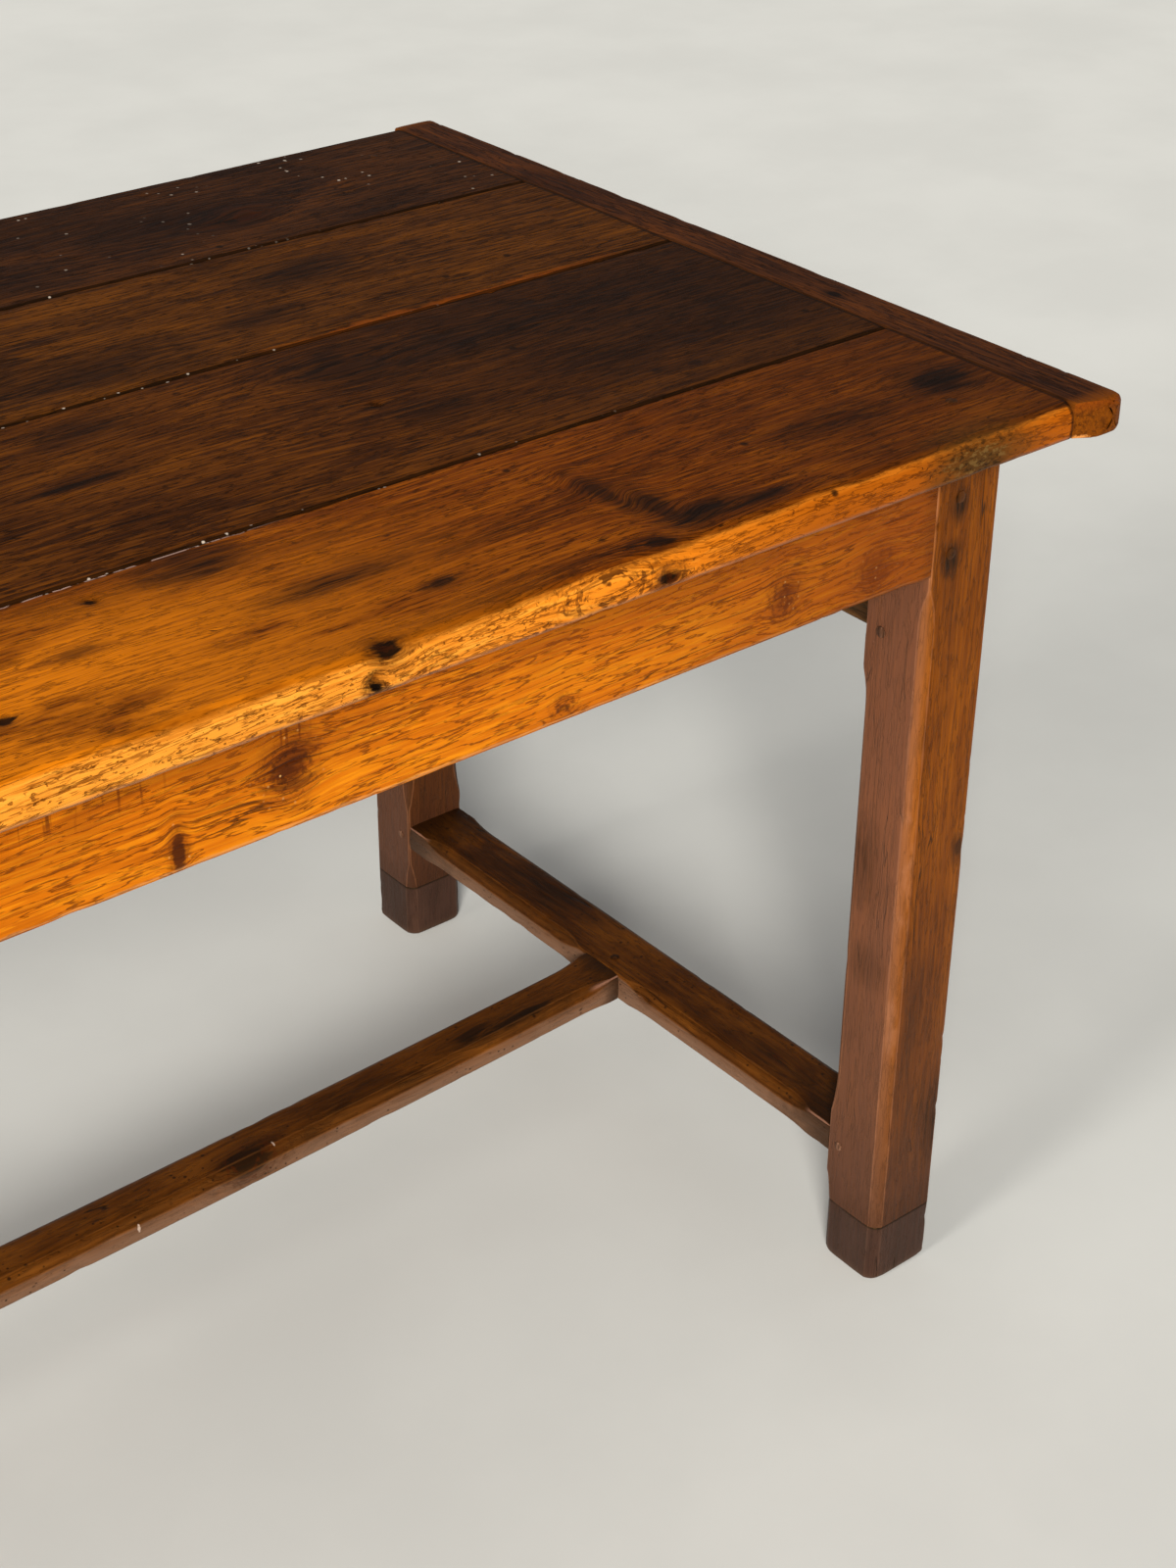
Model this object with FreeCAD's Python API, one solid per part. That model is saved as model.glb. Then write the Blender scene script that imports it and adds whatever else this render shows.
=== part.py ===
import FreeCAD, Part
import math
import os

# An old oak farmhouse table, in millimetres. X runs along the table, Y from the front to the back, Z up.
# The origin is on the floor under the middle of the top.

# Overall sizes
table_length = 2006.0
table_depth = 788.0
table_height = 760.0
front_overhang = 48.5
end_overhang = 60.5

# Tabletop: four planks of uneven width between two breadboard ends
top_thickness = 27.0
breadboard_width = 43.0
breadboard_proud = 4.5
breadboard_corner_radius = 9.0
front_seam = -210.5
middle_seam_left = -1.0
middle_seam_right = 22.5
back_seam = 205.0
seam_gap = 0.8
edge_tongue_thickness = 8.0
edge_tongue_reach = 8.0
end_tongue_thickness = 9.0
end_tongue_reach = 22.0
end_tongue_inset = 14.0
blind_groove_margin = 34.0
nose_radius = 8.0
breadboard_round = 6.0
lower_round = 3.0

# Legs and their spliced feet
leg_width = 62.0
leg_depth = 59.0
foot_height = 57.0
foot_round = 2.0
leg_chamfer = 8.0
outer_arris_chamfer = 2.0
lancet_drop = 8.0
lancet_length = 34.0
leg_stop_length = 46.0
leg_square_margin = 12.0

# Aprons
apron_thickness = 26.0
long_apron_depth = 95.0
end_apron_depth = 181.0
apron_chamfer = 4.0
apron_stop_length = 36.0
apron_square_margin = 3.0

# Stretchers
stretcher_top = 128.0
stretcher_thickness = 26.0
end_stretcher_inset = 1.0
centre_stretcher_width = 46.0
centre_stretcher_sag = 20.0
stretcher_upper_chamfer = 8.0
stretcher_lower_chamfer = 5.0
stretcher_stop_length = 34.0
stretcher_leg_margin = 20.0
stretcher_joint_margin = 7.0
centre_stop_margin = 4.0

# Tenons
apron_tenon_thickness = 12.0
apron_tenon_setback = 7.0
apron_tenon_drop = 27.0
apron_tenon_rise = 5.0
long_tenon_length = 40.0
end_tenon_length = 37.0
stretcher_tenon_thickness = 12.0
end_stretcher_tenon_width = 40.0
end_stretcher_tenon_length = 36.0
centre_tenon_width = 30.0
centre_tenon_length = 34.0

# Pegs and dowels, riven with flat sides and measured across their corners
peg_sides = 8
apron_peg_diameter = 9.0
stretcher_peg_diameter = 8.0
top_peg_diameter = 9.0
breadboard_peg_diameter = 8.0
foot_dowel_diameter = 18.0
foot_dowel_half_length = 28.0
peg_proud = 0.6
long_peg_length = 34.0
long_peg_upper_inset = 23.0
long_peg_upper_drop = 40.0
long_peg_lower_inset = 18.0
long_peg_lower_rise = 14.0
end_peg_inset = 16.5
end_peg_upper_drop = 60.0
end_peg_lower_rise = 28.0
stretcher_peg_inset = 12.5
centre_peg_inset = 15.0
top_peg_inset = 18.5
top_peg_setback = 12.0
top_peg_seat = 25.0
breadboard_peg_cover = 7.0

# Clearances
tenon_clearance = 0.2
peg_clearance = 0.1

# Places that follow from the sizes
half_length = table_length / 2
half_depth = table_depth / 2
underside = table_height - top_thickness
mid_top = table_height - top_thickness / 2
plank_half_length = half_length - breadboard_width - seam_gap
plank_edge = half_depth - breadboard_proud
leg_outer_x = half_length - end_overhang
leg_inner_x = leg_outer_x - leg_width
leg_outer_y = half_depth - front_overhang
leg_inner_y = leg_outer_y - leg_depth
long_apron_bottom = underside - long_apron_depth
end_apron_bottom = underside - end_apron_depth
stretcher_bottom = stretcher_top - stretcher_thickness
stretcher_middle = (stretcher_top + stretcher_bottom) / 2
end_stretcher_inner_x = leg_inner_x + end_stretcher_inset
end_stretcher_outer_x = leg_outer_x - end_stretcher_inset
ends = {"right": 1, "left": -1}
faces = {"front": -1, "back": 1}


def block(limits, grow=0.0):
    """A block between two opposite corners given in any order, grown on every side."""
    x0, x1, y0, y1, z0, z1 = limits
    corner = FreeCAD.Vector(min(x0, x1) - grow, min(y0, y1) - grow, min(z0, z1) - grow)
    sizes = [abs(x1 - x0), abs(y1 - y0), abs(z1 - z0)]
    return Part.makeBox(*[size + 2 * grow for size in sizes], corner)


def plate(outline, bottom, thickness):
    """A flat plate on a plan outline of (x, y) corners."""
    corners = [FreeCAD.Vector(x, y, bottom) for x, y in outline]
    face = Part.Face(Part.makePolygon(corners + corners[:1]))
    return face.extrude(FreeCAD.Vector(0, 0, thickness))


def rod(peg, grow=0.0):
    """A riven peg given by its diameter, start, direction and length, or the hole that takes it."""
    diameter, start, direction, length = peg
    radius = (diameter + grow) / 2
    angles = [2 * math.pi * side / peg_sides for side in range(peg_sides)]
    shaft = plate([(radius * math.cos(angle), radius * math.sin(angle)) for angle in angles], 0, length)
    shaft.Placement = FreeCAD.Placement(start, FreeCAD.Rotation(FreeCAD.Vector(0, 0, 1), direction))
    return shaft


def rounded(shape, radius, chosen):
    """The shape with the edges that the test picks rounded over."""
    return shape.makeFillet(radius, [edge for edge in shape.Edges if chosen(edge)])


def near(value, target):
    return abs(value - target) < 1e-4


def edge_at(edge, axis, target):
    """True where the whole edge lies at one value of x, y or z."""
    box = edge.BoundBox
    low = getattr(box, axis.upper() + "Min")
    high = getattr(box, axis.upper() + "Max")
    return near(low, target) and near(high, target)


def stopped_chamfer(start, end, face_a, face_b, size, start_stop, end_stop, drop=0.0):
    """The waste of a chamfer along the arris from start to end, between two faces' outward normals.

    Each stop is the length of a scooped run-out that rises to the square arris in a hollow arc, or
    zero where the chamfer runs off the end of the piece. The drop is how far the arris itself sinks
    inwards at mid length on a bowed piece.
    """
    along = end - start
    run = along.Length
    along.normalize()
    outward = face_a + face_b
    outward.normalize()
    sideways = along.cross(outward)
    depth = size / math.sqrt(2)

    def place(distance, height):
        bowed = height - 4 * drop * distance * (run - distance) / run ** 2
        return start + along * distance + outward * bowed

    def run_out(length, from_end):
        """The stop's square end, the middle of its hollow arc and its foot on the flat."""
        radius = (length ** 2 + depth ** 2) / (2 * depth)
        half_angle = math.asin(min(1.0, length / radius)) / 2
        middle = length - radius * math.sin(half_angle)
        height = radius * (1 - math.cos(half_angle)) - depth
        places = [(0.0, 0.0), (middle, height), (length, -depth)]
        return [place(run - s if from_end else s, h) for s, h in places]

    edges = []
    first = place(-size, -depth)
    flat_start = first
    if start_stop > 0:
        first, middle, flat_start = run_out(start_stop, False)
        edges.append(Part.Arc(first, middle, flat_start).toShape())
    last = place(run + size, -depth)
    flat_end = last
    if end_stop > 0:
        last, middle, flat_end = run_out(end_stop, True)
    if drop:
        edges.append(Part.Arc(flat_start, place(run / 2, -depth), flat_end).toShape())
    else:
        edges.append(Part.LineSegment(flat_start, flat_end).toShape())
    if end_stop > 0:
        edges.append(Part.Arc(flat_end, middle, last).toShape())
    reach = 2 * size + 2 * abs(drop)
    above_last = last + outward * reach
    above_first = first + outward * reach
    for a, b in ((last, above_last), (above_last, above_first), (above_first, first)):
        edges.append(Part.LineSegment(a, b).toShape())
    face = Part.Face(Part.Wire(edges))
    face.translate(sideways * -reach)
    return face.extrude(sideways * (2 * reach))


def long_tenon(end, face):
    """The tenon of a long apron in the leg at one end and face."""
    x = end * leg_inner_x
    y = face * (leg_outer_y - apron_tenon_setback)
    bottom = long_apron_bottom + apron_tenon_rise
    return (x, x + end * long_tenon_length, y, y - face * apron_tenon_thickness,
            bottom, underside - apron_tenon_drop)


def end_tenon(end, face):
    """The tenon of an end apron in the leg at one end and face."""
    x = end * (leg_outer_x - apron_tenon_setback)
    y = face * leg_inner_y
    bottom = end_apron_bottom + apron_tenon_rise
    return (x, x - end * apron_tenon_thickness, y, y + face * end_tenon_length,
            bottom, underside - apron_tenon_drop)


def stretcher_tenon(end, face):
    """The flat tenon of an end stretcher in the leg at one end and face."""
    x = end * (end_stretcher_inner_x + end_stretcher_outer_x) / 2
    y = face * leg_inner_y
    half_width = end_stretcher_tenon_width / 2
    half_thickness = stretcher_tenon_thickness / 2
    return (x - half_width, x + half_width, y, y + face * end_stretcher_tenon_length,
            stretcher_middle - half_thickness, stretcher_middle + half_thickness)


def centre_tenon(end):
    """The tenon of the centre stretcher in one end stretcher."""
    x = end * end_stretcher_inner_x
    half_width = centre_tenon_width / 2
    half_thickness = stretcher_tenon_thickness / 2
    return (x, x + end * centre_tenon_length, -half_width, half_width,
            stretcher_middle - half_thickness, stretcher_middle + half_thickness)


def long_pegs(end, face):
    """The two pegs that pin a long apron's tenon, driven in from the leg's outer face."""
    y = face * (leg_outer_y + peg_proud)
    places = [(long_peg_upper_inset, underside - long_peg_upper_drop),
              (long_peg_lower_inset, long_apron_bottom + long_peg_lower_rise)]
    inward = FreeCAD.Vector(0, -face, 0)
    return [(apron_peg_diameter, FreeCAD.Vector(end * (leg_inner_x + inset), y, z), inward,
             long_peg_length) for inset, z in places]


def end_pegs(end, face):
    """The two pegs that pin an end apron's tenon, driven right through the leg."""
    start_x = end * (leg_outer_x + peg_proud)
    y = face * (leg_inner_y + end_peg_inset)
    heights = [underside - end_peg_upper_drop, end_apron_bottom + end_peg_lower_rise]
    inward = FreeCAD.Vector(-end, 0, 0)
    return [(apron_peg_diameter, FreeCAD.Vector(start_x, y, z), inward, leg_width + 2 * peg_proud)
            for z in heights]


def stretcher_peg(end, face):
    """The peg that pins an end stretcher's tenon, driven right through the leg."""
    start = FreeCAD.Vector(end * (leg_outer_x + peg_proud), face * (leg_inner_y + stretcher_peg_inset),
                           stretcher_middle)
    return stretcher_peg_diameter, start, FreeCAD.Vector(-end, 0, 0), leg_width + 2 * peg_proud


def centre_peg(end):
    """The peg that pins the centre stretcher's tenon, driven down through an end stretcher."""
    start = FreeCAD.Vector(end * (end_stretcher_inner_x + centre_peg_inset), 0, stretcher_top + peg_proud)
    return stretcher_peg_diameter, start, FreeCAD.Vector(0, 0, -1), stretcher_thickness + peg_proud


def top_peg(end, face):
    """The peg that pins the top to the head of the leg at one end and face."""
    x = end * (leg_inner_x + top_peg_inset)
    y = face * (leg_outer_y - top_peg_setback)
    start = FreeCAD.Vector(x, y, table_height)
    return top_peg_diameter, start, FreeCAD.Vector(0, 0, -1), top_thickness + top_peg_seat


def foot_dowel(end, face):
    """The hidden dowel between a leg and its spliced foot."""
    x = end * (leg_inner_x + leg_outer_x) / 2
    y = face * (leg_inner_y + leg_outer_y) / 2
    start = FreeCAD.Vector(x, y, foot_height - foot_dowel_half_length)
    return foot_dowel_diameter, start, FreeCAD.Vector(0, 0, 1), 2 * foot_dowel_half_length


def seam_lines():
    """The y of the planks' outer edges and seams at the left and right ends of the planks."""
    return [(-plank_edge, -plank_edge), (front_seam, front_seam), (middle_seam_left, middle_seam_right),
            (back_seam, back_seam), (plank_edge, plank_edge)]


def breadboard_pegs(end):
    """The blind pegs that pin each plank's end tongue, driven up from below."""
    x = end * (plank_half_length + end_tongue_reach / 2)
    lines = [left if end < 0 else right for left, right in seam_lines()]
    length = top_thickness - breadboard_peg_cover
    up = FreeCAD.Vector(0, 0, 1)
    return [(breadboard_peg_diameter, FreeCAD.Vector(x, (a + b) / 2, underside), up, length)
            for a, b in zip(lines, lines[1:])]


def make_leg_blank(end, face):
    """A whole leg from the floor to the top, with its chamfered arrises."""
    inner_x = end * leg_inner_x
    outer_x = end * leg_outer_x
    inner_y = face * leg_inner_y
    outer_y = face * leg_outer_y
    x_in = FreeCAD.Vector(-end, 0, 0)
    x_out = FreeCAD.Vector(end, 0, 0)
    y_in = FreeCAD.Vector(0, -face, 0)
    y_out = FreeCAD.Vector(0, face, 0)
    blank = block((inner_x, outer_x, inner_y, outer_y, 0, underside))
    lancet = FreeCAD.Vector(inner_x, outer_y, long_apron_bottom - lancet_drop)
    floor = FreeCAD.Vector(inner_x, outer_y, 0)
    waste = [stopped_chamfer(lancet, floor, x_in, y_out, leg_chamfer, lancet_length, 0)]
    head = FreeCAD.Vector(outer_x, outer_y, underside)
    floor = FreeCAD.Vector(outer_x, outer_y, 0)
    waste.append(stopped_chamfer(head, floor, x_out, y_out, outer_arris_chamfer, 0, 0))
    for x, normal in ((inner_x, x_in), (outer_x, x_out)):
        upper = FreeCAD.Vector(x, inner_y, end_apron_bottom - apron_square_margin)
        lower = FreeCAD.Vector(x, inner_y, stretcher_top + leg_square_margin)
        waste.append(stopped_chamfer(upper, lower, normal, y_in, leg_chamfer, lancet_length, leg_stop_length))
        upper = FreeCAD.Vector(x, inner_y, stretcher_bottom - leg_square_margin)
        lower = FreeCAD.Vector(x, inner_y, 0)
        waste.append(stopped_chamfer(upper, lower, normal, y_in, leg_chamfer, leg_stop_length, 0))
    return blank.cut(waste)


def make_leg_and_foot(end, face):
    """The leg above its splice, with its mortises and holes, and the foot below it."""
    blank = make_leg_blank(end, face)
    plan = (end * leg_inner_x, end * leg_outer_x, face * leg_inner_y, face * leg_outer_y)
    leg = blank.common(block(plan + (foot_height, underside)))
    foot = blank.common(block(plan + (0, foot_height)))
    foot = rounded(foot, foot_round, lambda edge: edge_at(edge, "z", 0))
    tenons = [long_tenon(end, face), end_tenon(end, face), stretcher_tenon(end, face)]
    pegs = long_pegs(end, face) + end_pegs(end, face) + [stretcher_peg(end, face), top_peg(end, face)]
    dowel = rod(foot_dowel(end, face), peg_clearance)
    leg = leg.cut([block(tenon, tenon_clearance) for tenon in tenons] + [dowel])
    leg = leg.cut([rod(peg, peg_clearance) for peg in pegs])
    return leg, foot.cut(dowel)


def make_long_apron(face):
    """A long apron flush with the legs' outer faces, its lower arris eased with stopped chamfers."""
    outer_y = face * leg_outer_y
    inner_y = face * (leg_outer_y - apron_thickness)
    apron = block((-leg_inner_x, leg_inner_x, inner_y, outer_y, long_apron_bottom, underside))
    down = FreeCAD.Vector(0, 0, -1)
    reach = leg_inner_x - apron_square_margin
    for y, side in ((outer_y, face), (inner_y, -face)):
        start = FreeCAD.Vector(-reach, y, long_apron_bottom)
        end = FreeCAD.Vector(reach, y, long_apron_bottom)
        normal = FreeCAD.Vector(0, side, 0)
        stop = apron_stop_length
        apron = apron.cut(stopped_chamfer(start, end, normal, down, apron_chamfer, stop, stop))
    for end in ends.values():
        apron = apron.fuse(block(long_tenon(end, face)))
        apron = apron.cut([rod(peg, peg_clearance) for peg in long_pegs(end, face)])
    return apron.removeSplitter()


def make_end_apron(end):
    """A deep end apron flush with the legs' outer faces, eased along its lower arrises."""
    outer_x = end * leg_outer_x
    inner_x = end * (leg_outer_x - apron_thickness)
    apron = block((inner_x, outer_x, -leg_inner_y, leg_inner_y, end_apron_bottom, underside))
    down = FreeCAD.Vector(0, 0, -1)
    reach = leg_inner_y - apron_square_margin
    for x, side in ((outer_x, end), (inner_x, -end)):
        start = FreeCAD.Vector(x, -reach, end_apron_bottom)
        finish = FreeCAD.Vector(x, reach, end_apron_bottom)
        normal = FreeCAD.Vector(side, 0, 0)
        stop = apron_stop_length
        apron = apron.cut(stopped_chamfer(start, finish, normal, down, apron_chamfer, stop, stop))
    for face in faces.values():
        apron = apron.fuse(block(end_tenon(end, face)))
        apron = apron.cut([rod(peg, peg_clearance) for peg in end_pegs(end, face)])
    return apron.removeSplitter()


def make_end_stretcher(end):
    """A flat-lying end stretcher, its chamfers stopped at the legs and at the centre joint."""
    inner_x = end * end_stretcher_inner_x
    outer_x = end * end_stretcher_outer_x
    bar = block((inner_x, outer_x, -leg_inner_y, leg_inner_y, stretcher_bottom, stretcher_top))
    far = leg_inner_y - stretcher_leg_margin
    close = centre_stretcher_width / 2 + stretcher_joint_margin
    stop = stretcher_stop_length
    levels = ((stretcher_top, 1, stretcher_upper_chamfer), (stretcher_bottom, -1, stretcher_lower_chamfer))
    waste = []
    for z, up, size in levels:
        normal_z = FreeCAD.Vector(0, 0, up)
        runs = [(inner_x, -end, -far, -close), (inner_x, -end, close, far), (outer_x, end, -far, far)]
        for x, side, y0, y1 in runs:
            start = FreeCAD.Vector(x, y0, z)
            finish = FreeCAD.Vector(x, y1, z)
            normal_x = FreeCAD.Vector(side, 0, 0)
            waste.append(stopped_chamfer(start, finish, normal_x, normal_z, size, stop, stop))
    bar = bar.cut(waste)
    for face in faces.values():
        bar = bar.fuse(block(stretcher_tenon(end, face)))
        bar = bar.cut(rod(stretcher_peg(end, face), peg_clearance))
    bar = bar.cut(block(centre_tenon(end), tenon_clearance))
    return bar.cut(rod(centre_peg(end), peg_clearance)).removeSplitter()


def make_centre_stretcher():
    """The long stretcher, sagged in the middle, chamfered all round and square at both shoulders."""
    reach = end_stretcher_inner_x
    half_width = centre_stretcher_width / 2

    def bowed(z):
        """The three points of an arc along the table at one height of the section."""
        heights = (z, z - centre_stretcher_sag, z)
        return [FreeCAD.Vector(x, -half_width, h) for x, h in zip((-reach, 0, reach), heights)]

    upper = bowed(stretcher_top)
    lower = bowed(stretcher_bottom)
    outline = [Part.Arc(*upper).toShape(), Part.LineSegment(upper[2], lower[2]).toShape(),
               Part.Arc(*reversed(lower)).toShape(), Part.LineSegment(lower[0], upper[0]).toShape()]
    bar = Part.Face(Part.Wire(outline)).extrude(FreeCAD.Vector(0, centre_stretcher_width, 0))
    far = reach - centre_stop_margin
    rise = centre_stretcher_sag * (1 - (far / reach) ** 2)
    stop = stretcher_stop_length
    levels = ((stretcher_top, 1, stretcher_upper_chamfer), (stretcher_bottom, -1, stretcher_lower_chamfer))
    waste = []
    for z, up, size in levels:
        drop = up * (centre_stretcher_sag - rise) / math.sqrt(2)
        for face in faces.values():
            start = FreeCAD.Vector(-far, face * half_width, z - rise)
            finish = FreeCAD.Vector(far, face * half_width, z - rise)
            normal_y = FreeCAD.Vector(0, face, 0)
            normal_z = FreeCAD.Vector(0, 0, up)
            waste.append(stopped_chamfer(start, finish, normal_y, normal_z, size, stop, stop, drop))
    bar = bar.cut(waste)
    for end in ends.values():
        bar = bar.fuse(block(centre_tenon(end)))
        bar = bar.cut(rod(centre_peg(end), peg_clearance))
    return bar.removeSplitter()


def make_plank(front, back, has_tongue, has_groove):
    """A plank between two seam lines, tongued at both ends and along its front edge, grooved behind."""
    half_gap = seam_gap / 2
    front_left, front_right = [y + (half_gap if has_tongue else 0) for y in front]
    back_left, back_right = [y - (half_gap if has_groove else 0) for y in back]
    reach = plank_half_length
    outline = [(-reach, front_left), (reach, front_right), (reach, back_right), (-reach, back_left)]
    plank = plate(outline, underside, top_thickness)
    for outer, y in ((not has_tongue, front_left), (not has_groove, back_left)):
        if outer:
            plank = rounded(plank, nose_radius,
                            lambda edge: edge_at(edge, "y", y) and edge_at(edge, "z", table_height))
            plank = rounded(plank, lower_round,
                            lambda edge: edge_at(edge, "y", y) and edge_at(edge, "z", underside))
    tongue_reach = reach + end_tongue_reach
    front_inset = end_tongue_inset if has_tongue else blind_groove_margin
    back_inset = end_tongue_inset if has_groove else blind_groove_margin
    ends_outline = [(-tongue_reach, front_left + front_inset), (tongue_reach, front_right + front_inset),
                    (tongue_reach, back_right - back_inset), (-tongue_reach, back_left - back_inset)]
    plank = plank.fuse(plate(ends_outline, mid_top - end_tongue_thickness / 2, end_tongue_thickness))
    if has_tongue:
        tongue = [(-reach, front_left - edge_tongue_reach), (reach, front_right - edge_tongue_reach),
                  (reach, front_right), (-reach, front_left)]
        plank = plank.fuse(plate(tongue, mid_top - edge_tongue_thickness / 2, edge_tongue_thickness))
    if has_groove:
        depth = edge_tongue_reach + tenon_clearance
        beyond = reach + seam_gap
        thickness = edge_tongue_thickness + 2 * tenon_clearance
        groove = [(-beyond, back_left - depth), (beyond, back_right - depth),
                  (beyond, back_right + seam_gap), (-beyond, back_left + seam_gap)]
        plank = plank.cut(plate(groove, mid_top - thickness / 2, thickness))
    pegs = [peg for end in ends.values() for peg in breadboard_pegs(end)]
    pegs += [top_peg(end, face) for end in ends.values() for face in faces.values()]
    return plank.cut([rod(peg, peg_clearance) for peg in pegs]).removeSplitter()


def make_breadboard(end):
    """A breadboard end, grooved for the planks' tongues, with rounded corners and worn upper arrises."""
    inner_x = end * (half_length - breadboard_width)
    outer_x = end * half_length
    board = block((inner_x, outer_x, -half_depth, half_depth, underside, table_height))
    board = rounded(board, breadboard_corner_radius,
                    lambda edge: edge_at(edge, "x", outer_x) and near(abs(edge.BoundBox.Center.y), half_depth))

    def outside(edge, z):
        return edge_at(edge, "z", z) and not edge_at(edge, "x", inner_x)

    board = rounded(board, breadboard_round, lambda edge: outside(edge, table_height))
    board = rounded(board, lower_round, lambda edge: outside(edge, underside))
    depth = seam_gap + end_tongue_reach
    half_groove = plank_edge - blind_groove_margin
    half_thickness = end_tongue_thickness / 2
    groove = (inner_x - end * seam_gap, inner_x + end * (depth - seam_gap), -half_groove, half_groove,
              mid_top - half_thickness, mid_top + half_thickness)
    board = board.cut(block(groove, tenon_clearance))
    return board.cut([rod(peg, peg_clearance) for peg in breadboard_pegs(end)])


def make_nodes():
    """Every piece of the table by its node name."""
    nodes = {}
    planks = ("front", "wide", "inner", "back")
    lines = seam_lines()
    for number, name in enumerate(planks):
        first = number == 0
        last = number == len(planks) - 1
        nodes["top_plank_" + name] = make_plank(lines[number], lines[number + 1], not first, not last)
    corners = [(end, face) for end in ends.values() for face in faces.values()]
    for end_name, end in ends.items():
        nodes["breadboard_" + end_name] = make_breadboard(end)
        nodes["end_apron_" + end_name] = make_end_apron(end)
        nodes["end_stretcher_" + end_name] = make_end_stretcher(end)
        for face_name, face in faces.items():
            place = face_name + "_" + end_name
            nodes["leg_" + place], nodes["foot_" + place] = make_leg_and_foot(end, face)
    for face_name, face in faces.items():
        nodes["long_apron_" + face_name] = make_long_apron(face)
    nodes["centre_stretcher"] = make_centre_stretcher()
    groups = {
        "long_apron_pegs": [peg for corner in corners for peg in long_pegs(*corner)],
        "end_apron_pegs": [peg for corner in corners for peg in end_pegs(*corner)],
        "end_stretcher_pegs": [stretcher_peg(*corner) for corner in corners],
        "centre_stretcher_pegs": [centre_peg(end) for end in ends.values()],
        "top_pegs": [top_peg(*corner) for corner in corners],
        "breadboard_pegs": [peg for end in ends.values() for peg in breadboard_pegs(end)],
        "foot_dowels": [foot_dowel(*corner) for corner in corners],
    }
    for name, pegs in groups.items():
        nodes[name] = Part.makeCompound([rod(peg) for peg in pegs])
    return nodes


os.makedirs("parts", exist_ok=True)
for name, shape in make_nodes().items():
    shape.exportStep("parts/" + name + ".step")
    print(name, len(shape.Solids), round(shape.Volume / 1000, 1), shape.isValid())
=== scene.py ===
import math

import bmesh
import bpy
import numpy as np
from mathutils import Matrix, Vector


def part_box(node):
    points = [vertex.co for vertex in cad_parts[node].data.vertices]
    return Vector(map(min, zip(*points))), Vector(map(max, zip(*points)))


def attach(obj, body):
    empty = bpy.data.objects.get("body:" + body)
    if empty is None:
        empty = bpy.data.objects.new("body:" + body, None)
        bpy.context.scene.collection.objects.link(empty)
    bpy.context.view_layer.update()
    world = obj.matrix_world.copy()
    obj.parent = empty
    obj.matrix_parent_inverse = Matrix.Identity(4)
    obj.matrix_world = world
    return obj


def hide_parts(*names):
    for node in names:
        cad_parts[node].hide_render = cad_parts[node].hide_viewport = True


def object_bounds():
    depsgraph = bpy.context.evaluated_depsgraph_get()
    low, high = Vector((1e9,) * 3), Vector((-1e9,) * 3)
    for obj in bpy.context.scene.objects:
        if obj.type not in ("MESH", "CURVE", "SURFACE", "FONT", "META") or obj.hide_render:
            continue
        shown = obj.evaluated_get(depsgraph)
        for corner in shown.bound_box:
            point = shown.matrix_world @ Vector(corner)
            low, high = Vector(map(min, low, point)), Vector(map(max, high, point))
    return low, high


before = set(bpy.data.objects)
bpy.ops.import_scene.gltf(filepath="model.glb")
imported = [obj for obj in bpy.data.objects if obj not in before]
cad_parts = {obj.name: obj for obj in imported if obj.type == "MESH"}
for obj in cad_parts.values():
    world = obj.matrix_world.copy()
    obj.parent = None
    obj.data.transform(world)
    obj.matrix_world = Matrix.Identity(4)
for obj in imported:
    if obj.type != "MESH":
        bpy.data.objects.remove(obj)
cad_low, cad_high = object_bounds()

# Legs
# Four square oak posts that the aprons and stretchers are tenoned into. The arrises carry chamfers
# that stop short of each joint in a hollow scoop. Old wax, knocks and dust have browned the faces.
# Faces and chamfers are also tinted by the way they face: painted shade, highlight and floor reflection.
ENDS = {"right": 1, "left": -1}
FACES = {"front": -1, "back": 1}
CORNERS = [(end, face) for end in ENDS for face in FACES]
leg_chamfer = 0.008
leg_outer_arris = 0.0025
lancet_drop = 0.008
lancet_length = 0.034
leg_stop_length = 0.046
leg_square_margin = 0.012
apron_square_margin = 0.003
least_arris = 0.0016
below_floor = -1.0
leg_sides = (12, 12, 12, 12)


def wander(places, lump, seed):
    """Smooth noise from -1 to 1 at each place, in lumps of about the given size along each axis."""
    mixer = (127.1, 311.7, 74.7)
    spread = 43758.5453
    scaled = np.asarray(places) / np.asarray(lump) + 17.31 * seed
    cell = np.floor(scaled)
    part = scaled - cell
    part = part * part * (3 - 2 * part)
    total = np.zeros(len(scaled))
    for corner in np.ndindex(2, 2, 2):
        key = np.sin((cell + corner) @ mixer) * spread
        weight = np.prod(np.where(corner, part, 1 - part), axis=1)
        total += weight * (key - np.floor(key))
    return 2 * total - 1


def stopped(along, start, end, size, start_stop, end_stop):
    """The size of a chamfer at each station, with a hollow rise at each stop and none beyond its run."""
    rise = np.clip((along - start) / max(start_stop, 1e-6), 0, 1)
    fall = np.clip((end - along) / max(end_stop, 1e-6), 0, 1)
    return size * (1 - (1 - rise) ** 2) * (1 - (1 - fall) ** 2)


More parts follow.
